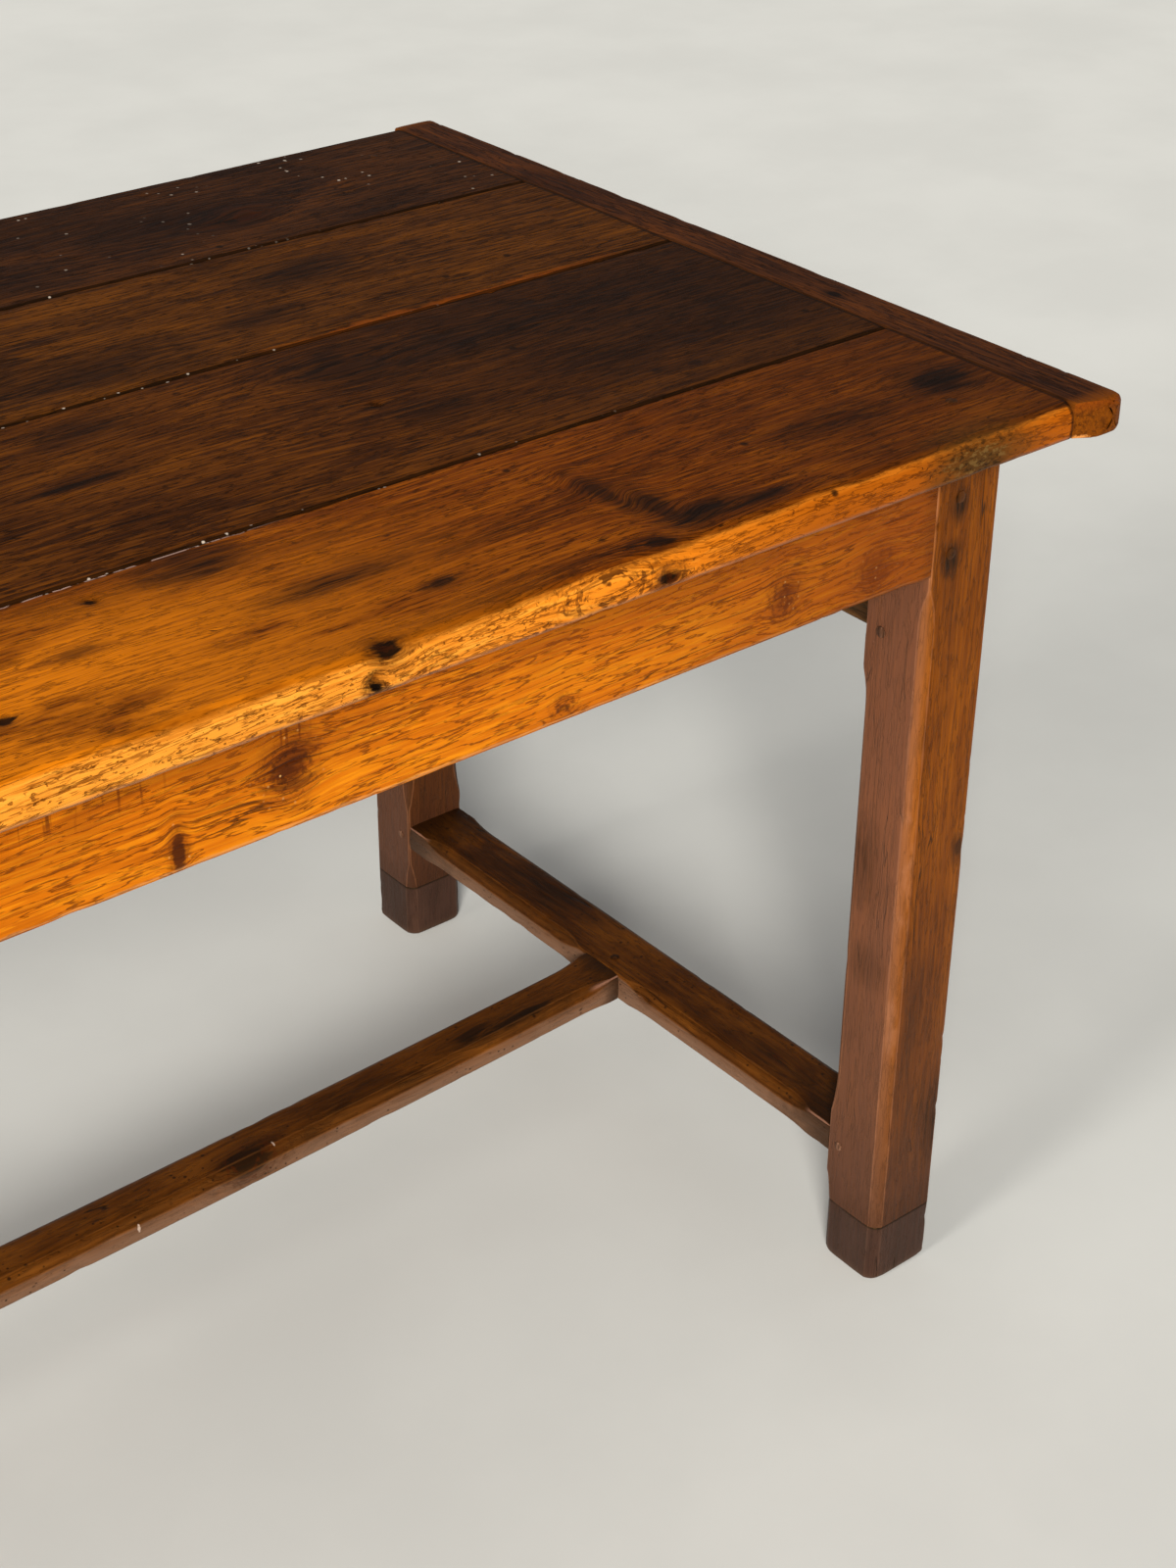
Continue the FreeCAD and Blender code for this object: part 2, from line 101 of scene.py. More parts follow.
def section_rings(low, high, chamfers, sides):
    """Points round a four-sided section at every station, and how far each lies from an arris."""
    crown = 0.4
    support = 0.0015
    steps = np.linspace(0, 1, 7)
    flat = np.stack([1 - steps, steps])
    arc = np.stack([1 - np.sin(steps * math.pi / 2), 1 - np.cos(steps * math.pi / 2)])
    back, ahead = flat + crown * (arc - flat)
    turns = np.array([(0, 0), (1, 0), (1, 1), (0, 1)], float)
    span = high - low
    points = []
    insets = []
    for k in range(4):
        into = turns[k] - turns[k - 1]
        out = turns[(k + 1) % 4] - turns[k]
        corner = low + turns[k] * span
        size = chamfers[:, k, None]
        shift = back[None, :, None] * -into + ahead[None, :, None] * out
        points.append(corner[:, None] + size[:, :, None] * shift)
        insets.append(math.sqrt(2) * size * np.minimum(steps, 1 - steps))
        length = np.abs(span @ out)[:, None] - size - chamfers[:, (k + 1) % 4, None]
        margin = np.minimum(support, length / 4)
        inner = margin + (length - 2 * margin) * np.linspace(0, 1, sides[k])
        points.append(corner[:, None] + (size + inner)[:, :, None] * out)
        insets.append(np.minimum(inner, length - inner))
    return np.concatenate(points, 1), np.concatenate(insets, 1)


# Sizes of the planing waves and the wear, and how a board's two ends are closed
wave_length = 0.40
wave_width = 0.09
wear_length = 0.11
wear_width = 0.03
arris_reach = 0.004
arris_line = 0.0003
dent_radius = (0.003, 0.009)
dent_depth = (0.0002, 0.0009)
nick_radius = (0.0015, 0.004)
nick_depth = (0.0003, 0.0012)
cap_shares = (0.7, 0.35)
cap_inset = 0.01
hub_inset = 0.02
crease_angle = math.radians(55)
station_step = 0.004


def wear_depth(flat, inset, length_axis, seed, swell, wear, dents, nicks, hollows):
    """How far each point of a board stands out from its true shape after planing, wear and knocks."""
    wave = np.full(3, wave_width)
    wave[length_axis] = wave_length
    scuff = np.full(3, wear_width)
    scuff[length_axis] = wear_length
    edge = np.exp(-(inset / arris_reach) ** 2)
    depth = swell * wander(flat, wave, seed)
    depth -= wear * edge * (0.5 + 0.5 * wander(flat, scuff, seed + 1))
    depth -= 0.4 * wear * edge * (0.5 + 0.5 * wander(flat, scuff / 7, seed + 2))
    pick = np.random.default_rng(seed)
    knocks = [(flat[pick.integers(len(flat))], pick.uniform(*dent_radius), pick.uniform(*dent_depth))
              for _ in range(dents)]
    arrises = np.flatnonzero(inset < arris_line)
    knocks += [(flat[pick.choice(arrises)], pick.uniform(*nick_radius), pick.uniform(*nick_depth))
               for _ in range(nicks)]
    for centre, radius, knock in knocks + list(hollows):
        depth -= knock * np.exp(-((flat - np.asarray(centre)) ** 2).sum(1) / radius ** 2)
    return depth


def closed_board(name, places, inset, reach):
    """A board from its rings of points, closed at both ends, with its inset and reach kept on its points."""
    around = inset.shape[1]
    layers = list(places)
    edges = list(inset)
    for share in cap_shares:
        caps = [end.mean(0) + (end - end.mean(0)) * share for end in (places[0], places[-1])]
        layers = [caps[0], *layers, caps[1]]
        edges = [np.full(around, cap_inset), *edges, np.full(around, cap_inset)]
    total = len(layers)
    vertices = np.concatenate(layers + [layers[0].mean(0)[None], layers[-1].mean(0)[None]])
    index = np.arange(total * around).reshape(total, around)
    following = np.roll(index, -1, 1)
    faces = np.stack([index[:-1], following[:-1], following[1:], index[1:]], -1).reshape(-1, 4).tolist()
    first = total * around
    for ring, hub in ((0, first), (-1, first + 1)):
        faces += [(int(a), int(b), hub) for a, b in zip(index[ring], following[ring])]
    mesh = bpy.data.meshes.new(name)
    mesh.from_pydata(vertices.tolist(), [], faces)
    full_reach = np.concatenate([np.zeros(len(cap_shares)), reach, np.zeros(len(cap_shares))])
    attributes = {"inset": np.concatenate(edges + [np.full(2, hub_inset)]),
                  "reach": np.concatenate([np.repeat(full_reach, around), np.zeros(2)])}
    for key, values in attributes.items():
        mesh.attributes.new(key, "FLOAT", "POINT").data.foreach_set("value", values.astype(np.float32))
    shell = bmesh.new()
    shell.from_mesh(mesh)
    bmesh.ops.recalc_face_normals(shell, faces=shell.faces)
    shell.to_mesh(mesh)
    shell.free()
    mesh.polygons.foreach_set("use_smooth", [True] * len(mesh.polygons))
    mesh.set_sharp_from_angle(angle=crease_angle)
    board = bpy.data.objects.new(name, mesh)
    bpy.context.scene.collection.objects.link(board)
    return board


def timber(name, axes, along, low, high, chamfers, sides, seed, ends=(0, 0), swell=0.0003, wear=0.0004,
           dents=24, nicks=12, hollows=()):
    """A worn board lofted along its grain and closed at both ends.

    axes names the world axes of its length, width and thickness. Each station of along has the low
    and high limits of its section and the chamfers of its four corners. ends are the radii that its
    two ends are worn round to. swell and wear are the depths of the planing waves and of the wear.
    Dents are scattered anywhere, nicks along the arrises, and each hollow has its own place, radius
    and depth.
    """
    order = ["xyz".index(axis) for axis in axes]
    for radius, distance in zip(ends, (along - along[0], along[-1] - along)):
        if radius:
            near = np.clip(radius - distance, 0, radius)
            pull = (radius - np.sqrt(radius ** 2 - near ** 2))[:, None]
            low = low + pull
            high = high - pull
    rings, inset = section_rings(low, high, chamfers, sides)
    places = np.zeros((*inset.shape, 3))
    places[:, :, order[0]] = along[:, None]
    places[:, :, order[1:]] = rings
    turn = np.roll(rings, -1, 1) - np.roll(rings, 1, 1)
    turn /= np.linalg.norm(turn, axis=2, keepdims=True) + 1e-12
    outward = np.zeros_like(places)
    outward[:, :, order[1]] = turn[:, :, 1]
    outward[:, :, order[2]] = -turn[:, :, 0]
    depth = wear_depth(places.reshape(-1, 3), inset.ravel(), order[0], seed, swell, wear, dents, nicks,
                       hollows)
    places += outward * depth.reshape(*inset.shape, 1)
    reach = np.minimum(along - along[0], along[-1] - along)
    return closed_board(name, places, inset, reach)


def stations(start, end, ends=(0.0, 0.0)):
    """Places along a board, closer together where an end is worn round."""
    along = list(np.linspace(start + ends[0], end - ends[1], max(3, round((end - start) / station_step))))
    for angle in np.radians((22.5, 45, 67.5, 90)):
        if ends[0]:
            along.insert(0, start + ends[0] * (1 - math.sin(angle)))
        if ends[1]:
            along.append(end - ends[1] * (1 - math.sin(angle)))
    return np.array(along)


def limits(along, low, high):
    """The same section limits at every station."""
    return np.tile(np.array(low, float), (len(along), 1)), np.tile(np.array(high, float), (len(along), 1))


def fit(piece, material, slot, *nodes):
    """Finish a piece, seat it on the table and let it stand for its plain nodes."""
    piece.data.materials.append(material)
    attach(piece, "root")
    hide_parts(*nodes)


def tint(red, green, blue):
    """A display colour from 0 to 255 as the shader wants it."""
    return tuple(((value / 255 + 0.055) / 1.055) ** 2.4 for value in (red, green, blue)) + (1.0,)


def node(tree, kind, sockets=(), **settings):
    """Add a node. sockets maps an input's name or number to a value or to an output to link."""
    made = tree.nodes.new(kind if kind.startswith(("Geometry", "Function")) else "ShaderNode" + kind)
    for key, value in settings.items():
        setattr(made, key, value)
    for key, value in dict(sockets).items():
        if isinstance(value, bpy.types.NodeSocket):
            tree.links.new(value, made.inputs[key])
        else:
            made.inputs[key].default_value = value
    return made


def maths(tree, way, a, b=0.0, clamp=False):
    return node(tree, "Math", {0: a, 1: b}, operation=way, use_clamp=clamp).outputs[0]


def product(tree, first, *others):
    """Masks or values multiplied together."""
    for other in others:
        first = maths(tree, "MULTIPLY", first, other)
    return first


def vectors(tree, way, a, b=(0.0, 0.0, 0.0)):
    return node(tree, "VectorMath", {0: a, 1: b}, operation=way).outputs[0]


def mixed(tree, share, a, b):
    return node(tree, "Mix", {0: share, 6: a, 7: b}, data_type="RGBA").outputs[2]


def eased(tree, value, start, end):
    """Rises smoothly from 0 to 1 as the value goes from start to end."""
    made = node(tree, "MapRange", {"Value": value, "From Min": start, "From Max": end},
                interpolation_type="SMOOTHSTEP")
    return made.outputs[0]


def cloud(tree, vector, scale, detail=3.0, rough=0.55):
    made = node(tree, "TexNoise", {"Vector": vector, "Scale": scale, "Detail": detail, "Roughness": rough})
    return made.outputs[0]


def streaks(tree, vector, scales, detail, rough=0.55):
    """Noise with a scale of its own along each axis."""
    return cloud(tree, vectors(tree, "MULTIPLY", vector, scales), 1.0, detail, rough)


def threads(tree, noise, width, core):
    """Fine lines where a noise crosses its middle."""
    return eased(tree, maths(tree, "ABSOLUTE", maths(tree, "SUBTRACT", noise, 0.5)), width, core)


def new_group(name, takes, gives, family="ShaderNodeTree"):
    """An empty node group with its input and output nodes."""
    tree = bpy.data.node_groups.new(name, family)
    for socket, kind in takes.items():
        tree.interface.new_socket(socket, in_out="INPUT", socket_type="NodeSocket" + kind)
    for socket, kind in gives.items():
        tree.interface.new_socket(socket, in_out="OUTPUT", socket_type="NodeSocket" + kind)
    return tree, tree.nodes.new("NodeGroupInput").outputs, tree.nodes.new("NodeGroupOutput").inputs


def use_group(tree, group, sockets):
    return node(tree, "Group", sockets, node_tree=group).outputs


# Oak figure: growth rings round a pith line, bands, fibres, pores and drying checks along the first axis
figure_parts = ("Rings", "Bands", "Fibres", "Pores", "Glints", "Clouds", "Checks")
figure, take, give = new_group("oak_figure", {"Grain": "Vector", "Ring Width": "Float", "Wander": "Float"},
                               dict.fromkeys(figure_parts, "Float"))
drift = node(figure, "TexNoise", {"Vector": vectors(figure, "MULTIPLY", take["Grain"], (1.6, 7.0, 7.0)),
                                  "Scale": 1.0, "Detail": 2.0}).outputs[1]
drift = vectors(figure, "SUBTRACT", drift, (0.5, 0.5, 0.5))
drift = node(figure, "VectorMath", {0: drift, "Scale": take["Wander"]}, operation="SCALE").outputs[0]
bent = vectors(figure, "ADD", take["Grain"], vectors(figure, "MULTIPLY", drift, (0.0, 1.0, 1.0)))
across = vectors(figure, "MULTIPLY", bent, (0.0, 1.0, 1.0))
radius = node(figure, "VectorMath", {0: across}, operation="LENGTH").outputs[1]
saw = maths(figure, "FRACT", maths(figure, "DIVIDE", radius, take["Ring Width"]))
ring = product(figure, eased(figure, saw, 0.2, 0.8), eased(figure, saw, 1.0, 0.88))


def along_grain(length_scale, width_scale, detail, rough):
    """Noise drawn out along the grain."""
    return streaks(figure, bent, (length_scale, width_scale, width_scale), detail, rough)


pores = threads(figure, along_grain(20.0, 210.0, 3.0, 0.6), 0.030, 0.006)
glints = eased(figure, along_grain(26.0, 430.0, 2.0, 0.55), 0.45, 0.38)
check_zone = eased(figure, along_grain(5.0, 26.0, 1.0, 0.5), 0.54, 0.62)
checks = product(figure, threads(figure, along_grain(4.0, 80.0, 2.0, 0.5), 0.010, 0.0), check_zone)
made_up = (ring, along_grain(1.8, 60.0, 3.0, 0.55), along_grain(13.0, 360.0, 3.0, 0.62), pores, glints,
           along_grain(7.0, 22.0, 5.0, 0.62), checks)
for part, value in zip(figure_parts, made_up):
    figure.links.new(value, give[part])

# Knot or stain: a ragged core, halo and rings round a place, and the grain swept aside by it
knot_mark, take, give = new_group(
    "knot_or_stain",
    {"Place": "Vector", "Fray": "Float", "Centre": "Vector", "Size": "Vector", "Swirl": "Float"},
    {"Place": "Vector", "Core": "Float", "Halo": "Float", "Rings": "Float"})
away = vectors(knot_mark, "SUBTRACT", take["Place"], take["Centre"])
distance = node(knot_mark, "VectorMath", {0: vectors(knot_mark, "DIVIDE", away, take["Size"])},
                operation="LENGTH").outputs[1]
fray = product(knot_mark, maths(knot_mark, "SUBTRACT", take["Fray"], 0.5), 2.4)
ragged = maths(knot_mark, "ADD", distance, fray)
knot_mark.links.new(eased(knot_mark, ragged, 1.15, 0.7), give["Core"])
knot_mark.links.new(eased(knot_mark, ragged, 2.6, 0.2), give["Halo"])
hoops = maths(knot_mark, "FRACT", maths(knot_mark, "ADD", product(knot_mark, ragged, 1.3), fray))
hoops = product(knot_mark, eased(knot_mark, hoops, 0.45, 0.85), eased(knot_mark, hoops, 1.0, 0.85),
                eased(knot_mark, take["Fray"], 0.36, 0.56), eased(knot_mark, distance, 2.4, 0.8))
knot_mark.links.new(hoops, give["Rings"])
fade = maths(knot_mark, "EXPONENT", product(knot_mark, distance, distance, -0.3))
pull = node(knot_mark, "VectorMath", {0: away, "Scale": product(knot_mark, fade, take["Swirl"])},
            operation="SCALE").outputs[0]
knot_mark.links.new(vectors(knot_mark, "SUBTRACT", take["Place"], pull), give["Place"])

# Worn arris: bare pale wood where hands and feet have rubbed the edges
worn_arris, take, give = new_group("worn_arris", {"Place": "Vector", "Inset": "Float", "Width": "Float"},
                                   {"Wear": "Float"})
rub = product(worn_arris, cloud(worn_arris, take["Place"], 42.0, 4.0, 0.6), 2.0)
limit = product(worn_arris, take["Width"], maths(worn_arris, "SUBTRACT", rub, 0.45))
worn_arris.links.new(maths(worn_arris, "SUBTRACT", 1.0, eased(worn_arris, take["Inset"], 0.0, limit)),
                     give["Wear"])

# Specks: small round crumbs, dust and worm holes, in some of the cells of a grid
specks, take, give = new_group("specks", {"Place": "Vector", "Spacing": "Float", "Share": "Float"},
                               {"Mask": "Float"})
cells = node(specks, "TexVoronoi", {"Vector": take["Place"], "Scale": take["Spacing"]})
small = eased(specks, cells.outputs["Distance"], 0.26, 0.12)
chosen = node(specks, "SeparateColor", {0: cells.outputs["Color"]})
few = maths(specks, "LESS_THAN", chosen.outputs[0], take["Share"])
specks.links.new(product(specks, small, few), give["Mask"])

TURN_FROM_Z = (0.0, math.radians(90), 0.0)
TURN_FROM_Y = (0.0, 0.0, math.radians(-90))


class Oak:
    """An oak finish as it is built up: figure, knots, wear, grime and painted shade, dust, then wax.

    Its colours are display values from 0 to 255. tones are the dark, middle and light wood, turn and
    shift lay the grain, and each mark has a place, a size and the strengths of its swirl, core, halo
    and rings. spot and look hold the place and the facing along each axis.
    """

    def __init__(self, name, tones, turn=(0.0, 0.0, 0.0), shift=(0.0, 0.12, 0.05), ring_width=0.0045,
                 wander=0.03, marks=(), contrast=0.12, pores=0.75, weights=(0.42, 0.16, 0.42),
                 stain=(38, 19, 8), heart=(17, 10, 7)):
        self.material = bpy.data.materials.new(name)
        self.material.use_nodes = True
        self.tree = self.material.node_tree
        self.tree.nodes.clear()
        tree = self.tree
        coordinates = node(tree, "TexCoord")
        self.place = coordinates.outputs["Object"]
        self.spot = node(tree, "SeparateXYZ", {0: self.place}).outputs[:3]
        self.look = node(tree, "SeparateXYZ", {0: coordinates.outputs["Normal"]}).outputs[:3]
        self.inset = node(tree, "Attribute", attribute_name="inset").outputs["Fac"]
        self.reach = node(tree, "Attribute", attribute_name="reach").outputs["Fac"]
        swept = self.place
        if marks:
            flow = node(tree, "Mapping", {"Vector": swept, "Rotation": turn}).outputs[0]
            self.fray = streaks(tree, flow, (17.0, 100.0, 100.0), 6.0, 0.72)
        self.stain = stain
        self.heart = heart
        self.marks = []
        for centre, size, swirl, core, halo, rings in marks:
            mark = self.knot(swept, centre, size, swirl)
            swept = mark["Place"]
            self.marks.append((mark, core, halo, rings))
        self.grain = node(tree, "Mapping", {"Vector": swept, "Location": shift, "Rotation": turn}).outputs[0]
        self.figure = use_group(tree, figure,
                                {"Grain": self.grain, "Ring Width": ring_width, "Wander": wander})
        self.bare_wood(tones, contrast, pores, weights)
        self.roughness = maths(tree, "ADD", product(tree, self.figure["Fibres"], 0.3), 0.35)
        self.height = product(tree, self.figure["Fibres"], 0.8)
        self.carve(self.figure["Pores"], 0.6)
        self.carve(self.figure["Checks"], 1.6)

    def bare_wood(self, tones, contrast, pores, weights):
        """The bare wood: its tones blended by the figure, with rings, pores, glints and checks."""
        tree = self.tree
        blend = 0.0
        for part, weight in zip(("Clouds", "Bands", "Fibres"), weights):
            blend = maths(tree, "ADD", blend, product(tree, self.figure[part], weight))
        ramp = node(tree, "ValToRGB", {0: blend})
        dark, middle, light = (tint(*tone) for tone in tones)
        ramp.color_ramp.elements[0].position = 0.5 - contrast
        ramp.color_ramp.elements[0].color = dark
        ramp.color_ramp.elements[1].position = 0.5 + contrast
        ramp.color_ramp.elements[1].color = light
        ramp.color_ramp.elements.new(0.5).color = middle
        self.color = ramp.outputs[0]
        self.lay(0.12, tones[0], self.figure["Rings"])
        deep = tuple(0.55 * value for value in dark[:3]) + (1.0,)
        filled = maths(tree, "MULTIPLY", self.figure["Pores"], pores, clamp=True)
        self.color = mixed(tree, filled, self.color, deep)
        self.lay(0.6 * pores, tones[2], self.figure["Glints"])
        self.lay(0.8, (20, 11, 6), self.figure["Checks"])

    def knot(self, place, centre, size, swirl=0.0):
        """The masks of one knot, stain or chip."""
        return use_group(self.tree, knot_mark, {"Place": place, "Fray": self.fray, "Centre": centre,
                                                "Size": size, "Swirl": swirl})

    def lay(self, share, color, *masks):
        """Lay a colour over the wood where all the masks are, up to a share."""
        laid = maths(self.tree, "MULTIPLY", product(self.tree, *masks), share, clamp=True)
        self.color = mixed(self.tree, laid, self.color, tint(*color))

    def carve(self, mask, depth):
        """Sink the surface where the mask is."""
        self.height = maths(self.tree, "SUBTRACT", self.height, product(self.tree, mask, depth))

    def mark(self):
        """Lay on the knots and stains, with dark lines in the stains and broken flecks in the knots."""
        tree = self.tree
        broken = eased(tree, cloud(tree, self.grain, 330.0, 2.0, 0.6), 0.55, 0.60)
        lines = threads(tree, streaks(tree, self.grain, (15.0, 190.0, 190.0), 3.0, 0.6), 0.065, 0.02)
        for mark, core, halo, rings in self.marks:
            layers = (("Halo", halo, self.stain), ("Rings", 1.2 * rings, (66, 27, 6)),
                      ("Core", core, self.heart))
            for part, share, color in layers:
                if share:
                    self.lay(share, color, mark[part])
        for mark, _, halo, rings in self.marks:
            if halo:
                self.lay(halo, self.heart, mark["Halo"], lines)
            if rings:
                self.lay(1.32 * rings, (62, 24, 5), mark["Halo"], broken)

    def rub(self, width, share, color):
        """Wear the finish off along the arrises."""
        worn = use_group(self.tree, worn_arris, {"Place": self.grain, "Inset": self.inset, "Width": width})
        self.lay(share, color, worn["Wear"])

    def grime_and_shadow(self, width, share, color):
        """Darken the wood towards the joints at its two ends: grime, and painted shadow of the joining parts.
        """
        spread = product(self.tree, cloud(self.tree, self.place, 38.0), 2 * width)
        self.lay(share, color, eased(self.tree, self.reach, spread, 0.0))

    def dust(self, mask, spacing, few, color):
        """Scatter specks of one colour where the mask is."""
        speck = use_group(self.tree, specks, {"Place": self.place, "Spacing": spacing, "Share": few})
        self.lay(0.85, color, speck["Mask"], mask)

    def wax(self, specular=0.15, bump=0.6):
        """The waxed surface over the finished colour."""
        tree = self.tree
        relief = node(tree, "Bump", {"Strength": bump, "Distance": 0.0012, "Height": self.height})
        surface = node(tree, "BsdfPrincipled", {"Base Color": self.color, "Roughness": self.roughness,
                                                "Specular IOR Level": specular,
                                                "Specular Tint": (1.0, 0.6, 0.15, 1.0),
                                                "Normal": relief.outputs[0]})
        result = node(tree, "OutputMaterial", {"Surface": surface.outputs[0]})
        result.is_active_output = True
        return self.material


def facing(oak, axis, side):
    """A mask of the faces that look along an axis, 1 towards the table's ends or sides, -1 inwards."""
    away = product(oak.tree, oak.look[axis], maths(oak.tree, "SIGN", oak.spot[axis]), side)
    return eased(oak.tree, away, 0.45, 0.9)


long_apron_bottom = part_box("long_apron_front")[0].z
end_apron_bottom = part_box("end_apron_right")[0].z
stretcher_low, stretcher_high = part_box("end_stretcher_right")


def leg_chamfers(along, end, face):
    """Chamfers of a leg's four corners from the floor up, in the order of its section."""
    lancet_top = long_apron_bottom - lancet_drop
    outer = np.full(len(along), leg_outer_arris)
    lancet = stopped(along, below_floor, lancet_top, leg_chamfer, 0.0, lancet_length)
    inner = stopped(along, stretcher_high.z + leg_square_margin, end_apron_bottom - apron_square_margin,
                    leg_chamfer, leg_stop_length, lancet_length)
    inner = inner + stopped(along, below_floor, stretcher_low.z - leg_square_margin, leg_chamfer, 0.0,
                            leg_stop_length)
    runs = []
    for x_side, y_side in ((-1, -1), (1, -1), (1, 1), (-1, 1)):
        inner_x = x_side != ENDS[end]
        inner_y = y_side != FACES[face]
        runs.append(inner if inner_y else lancet if inner_x else outer)
    return np.maximum(np.stack(runs, 1), least_arris)


leg_tones = ((68, 31, 3), (105, 51, 3), (136, 72, 7))
leg_peg_spots = ((0.023, 0.693), (0.018, 0.652))
peg_dirt_drop = 0.004
peg_dirt_size = (0.005, 0.012, 0.008)
for number, (end, face) in enumerate(CORNERS):
    name = f"leg_{face}_{end}"
    side = ENDS[end]
    low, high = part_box(name)
    along = stations(low.z, high.z)
    leg = timber("worn_" + name, "zxy", along, *limits(along, low.xy, high.xy),
                 leg_chamfers(along, end, face), leg_sides, seed=11 + number, dents=40, nicks=14)
    face_y = low.y if face == "front" else high.y
    inner_x = low.x if end == "right" else high.x
    scuffs = [((inner_x, low.y + 0.045, 0.385), (0.02, 0.012, 0.022), 0.2, 0.0, 0.36, 0.0),
              ((inner_x, low.y + 0.030, 0.300), (0.02, 0.010, 0.012), 0.2, 0.0, 0.3, 0.0),
              ((inner_x + side * 0.055, face_y, 0.40), (0.004, 0.01, 0.009), 0.6, 0.6, 0.5, 0.3),
              ((inner_x + side * 0.069, face_y, 0.335), (0.006, 0.02, 0.012), 0.3, 0.3, 0.6, 0.0),
              ((inner_x + side * 0.072, face_y, 0.262), (0.006, 0.02, 0.016), 0.2, 0.0, 0.6, 0.0),
              ((inner_x + side * 0.064, face_y, 0.150), (0.014, 0.02, 0.024), 0.2, 0.0, 0.6, 0.0)]
    dirt = [((inner_x + side * inset, face_y, height - peg_dirt_drop), peg_dirt_size, 0.4, 0.3, 0.75, 0.0)
            for inset, height in leg_peg_spots]
    oak = Oak(name + "_oak", leg_tones, TURN_FROM_Z, (0.7 * number, 0.09, 0.13), marks=scuffs + dirt,
              contrast=0.14, pores=0.45, weights=(0.45, 0.25, 0.3))
    tree = oak.tree
    height = oak.spot[2]
    slant = eased(tree, maths(tree, "ABSOLUTE", product(tree, oak.look[0], oak.look[1])), 0.28, 0.44)
    # Inner faces across the table: a pinkish brown, partly dust and partly a painted reflection of the pale
    # floor.
    oak.lay(0.72, (109, 70, 52), facing(oak, 0, -1))
    # Faces looking in along the table's width: painted shade under the table.
    oak.lay(0.6, (68, 31, 5), facing(oak, 1, -1))
    if face == "front":
        # Front legs' chamfers, which face the light: painted highlight.
        oak.lay(0.3, (158, 94, 42), slant)
        oak.lay(0.4, (172, 116, 84), slant, eased(tree, oak.figure["Clouds"], 0.46, 0.58))
    else:
        # Back legs' chamfers, under the table: painted shade.
        oak.lay(0.55, (62, 34, 19), slant)
    oak.lay(0.5, (66, 42, 30), eased(tree, height, 0.52, 0.10))
    oak.lay(0.45, (58, 38, 31), eased(tree, height, 0.20, 0.07))
    oak.mark()
    oak.rub(0.0022, 0.22, (176, 116, 78))
    oak.grime_and_shadow(0.04, 0.4, (46, 24, 14))
    fit(leg, oak.wax(), "oak_frame", name)

# Feet
# Short blocks of dark wood spliced under the legs, with the leg's chamfers carried down to the floor.
# Damp and mopping have rounded the bottoms and left them a dull purplish brown.
foot_tones = ((38, 23, 18), (56, 36, 30), (72, 49, 40))
foot_sole_round = 0.006
foot_splice_round = 0.0012
foot_rounds = (foot_sole_round, foot_splice_round)
for number, (end, face) in enumerate(CORNERS):
    name = f"foot_{face}_{end}"
    low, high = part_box(name)
    along = stations(low.z, high.z, foot_rounds)
    foot = timber("worn_" + name, "zxy", along, *limits(along, low.xy, high.xy),
                  leg_chamfers(along, end, face), leg_sides, seed=31 + number, ends=foot_rounds, dents=14)
    oak = Oak(name + "_wood", foot_tones, TURN_FROM_Z, (0.4 * number, 0.07, 0.11), contrast=0.24, pores=0.12,
              weights=(0.7, 0.15, 0.15))
    # Inner faces across the table: painted shade.
    oak.lay(0.4, (40, 27, 24), facing(oak, 0, -1))
    oak.rub(0.0025, 0.15, (112, 80, 62))
    # A dark line at both ends: the splice joint above, and a painted contact shadow at the sole.
    oak.lay(0.8, (18, 11, 9), eased(oak.tree, oak.reach, 0.0028, 0.0010))
    oak.lay(0.25, (100, 72, 52), eased(oak.tree, oak.spot[2], 0.012, 0.0))
    fit(foot, oak.wax(0.2), "dark_feet", name)

# Aprons
# Rails tenoned between the legs, flush with their outer faces. The front one is sun-bleached to a
# golden orange, with knots and rows of plane chatter, and its lower arris is rubbed bright.
apron_chamfer = 0.004
apron_stop_length = 0.036
apron_tones = ((128, 58, 1), (200, 105, 4), (228, 138, 16))
end_apron_tones = ((100, 48, 8), (150, 76, 14), (186, 104, 30))
chatter_spots = ((0.235, 0.055), (0.362, 0.016), (-0.45, 0.07))
dusty_knots = 4


def apron_chamfers(along):
    """Eased lower corners, stopped near the shoulders, and sharp upper ones."""
    lower = stopped(along, along[0] + apron_square_margin, along[-1] - apron_square_margin, apron_chamfer,
                    apron_stop_length, apron_stop_length)
    lower = np.maximum(lower, least_arris)
    upper = np.full(len(along), least_arris)
    return np.stack([lower, lower, upper, upper], 1)


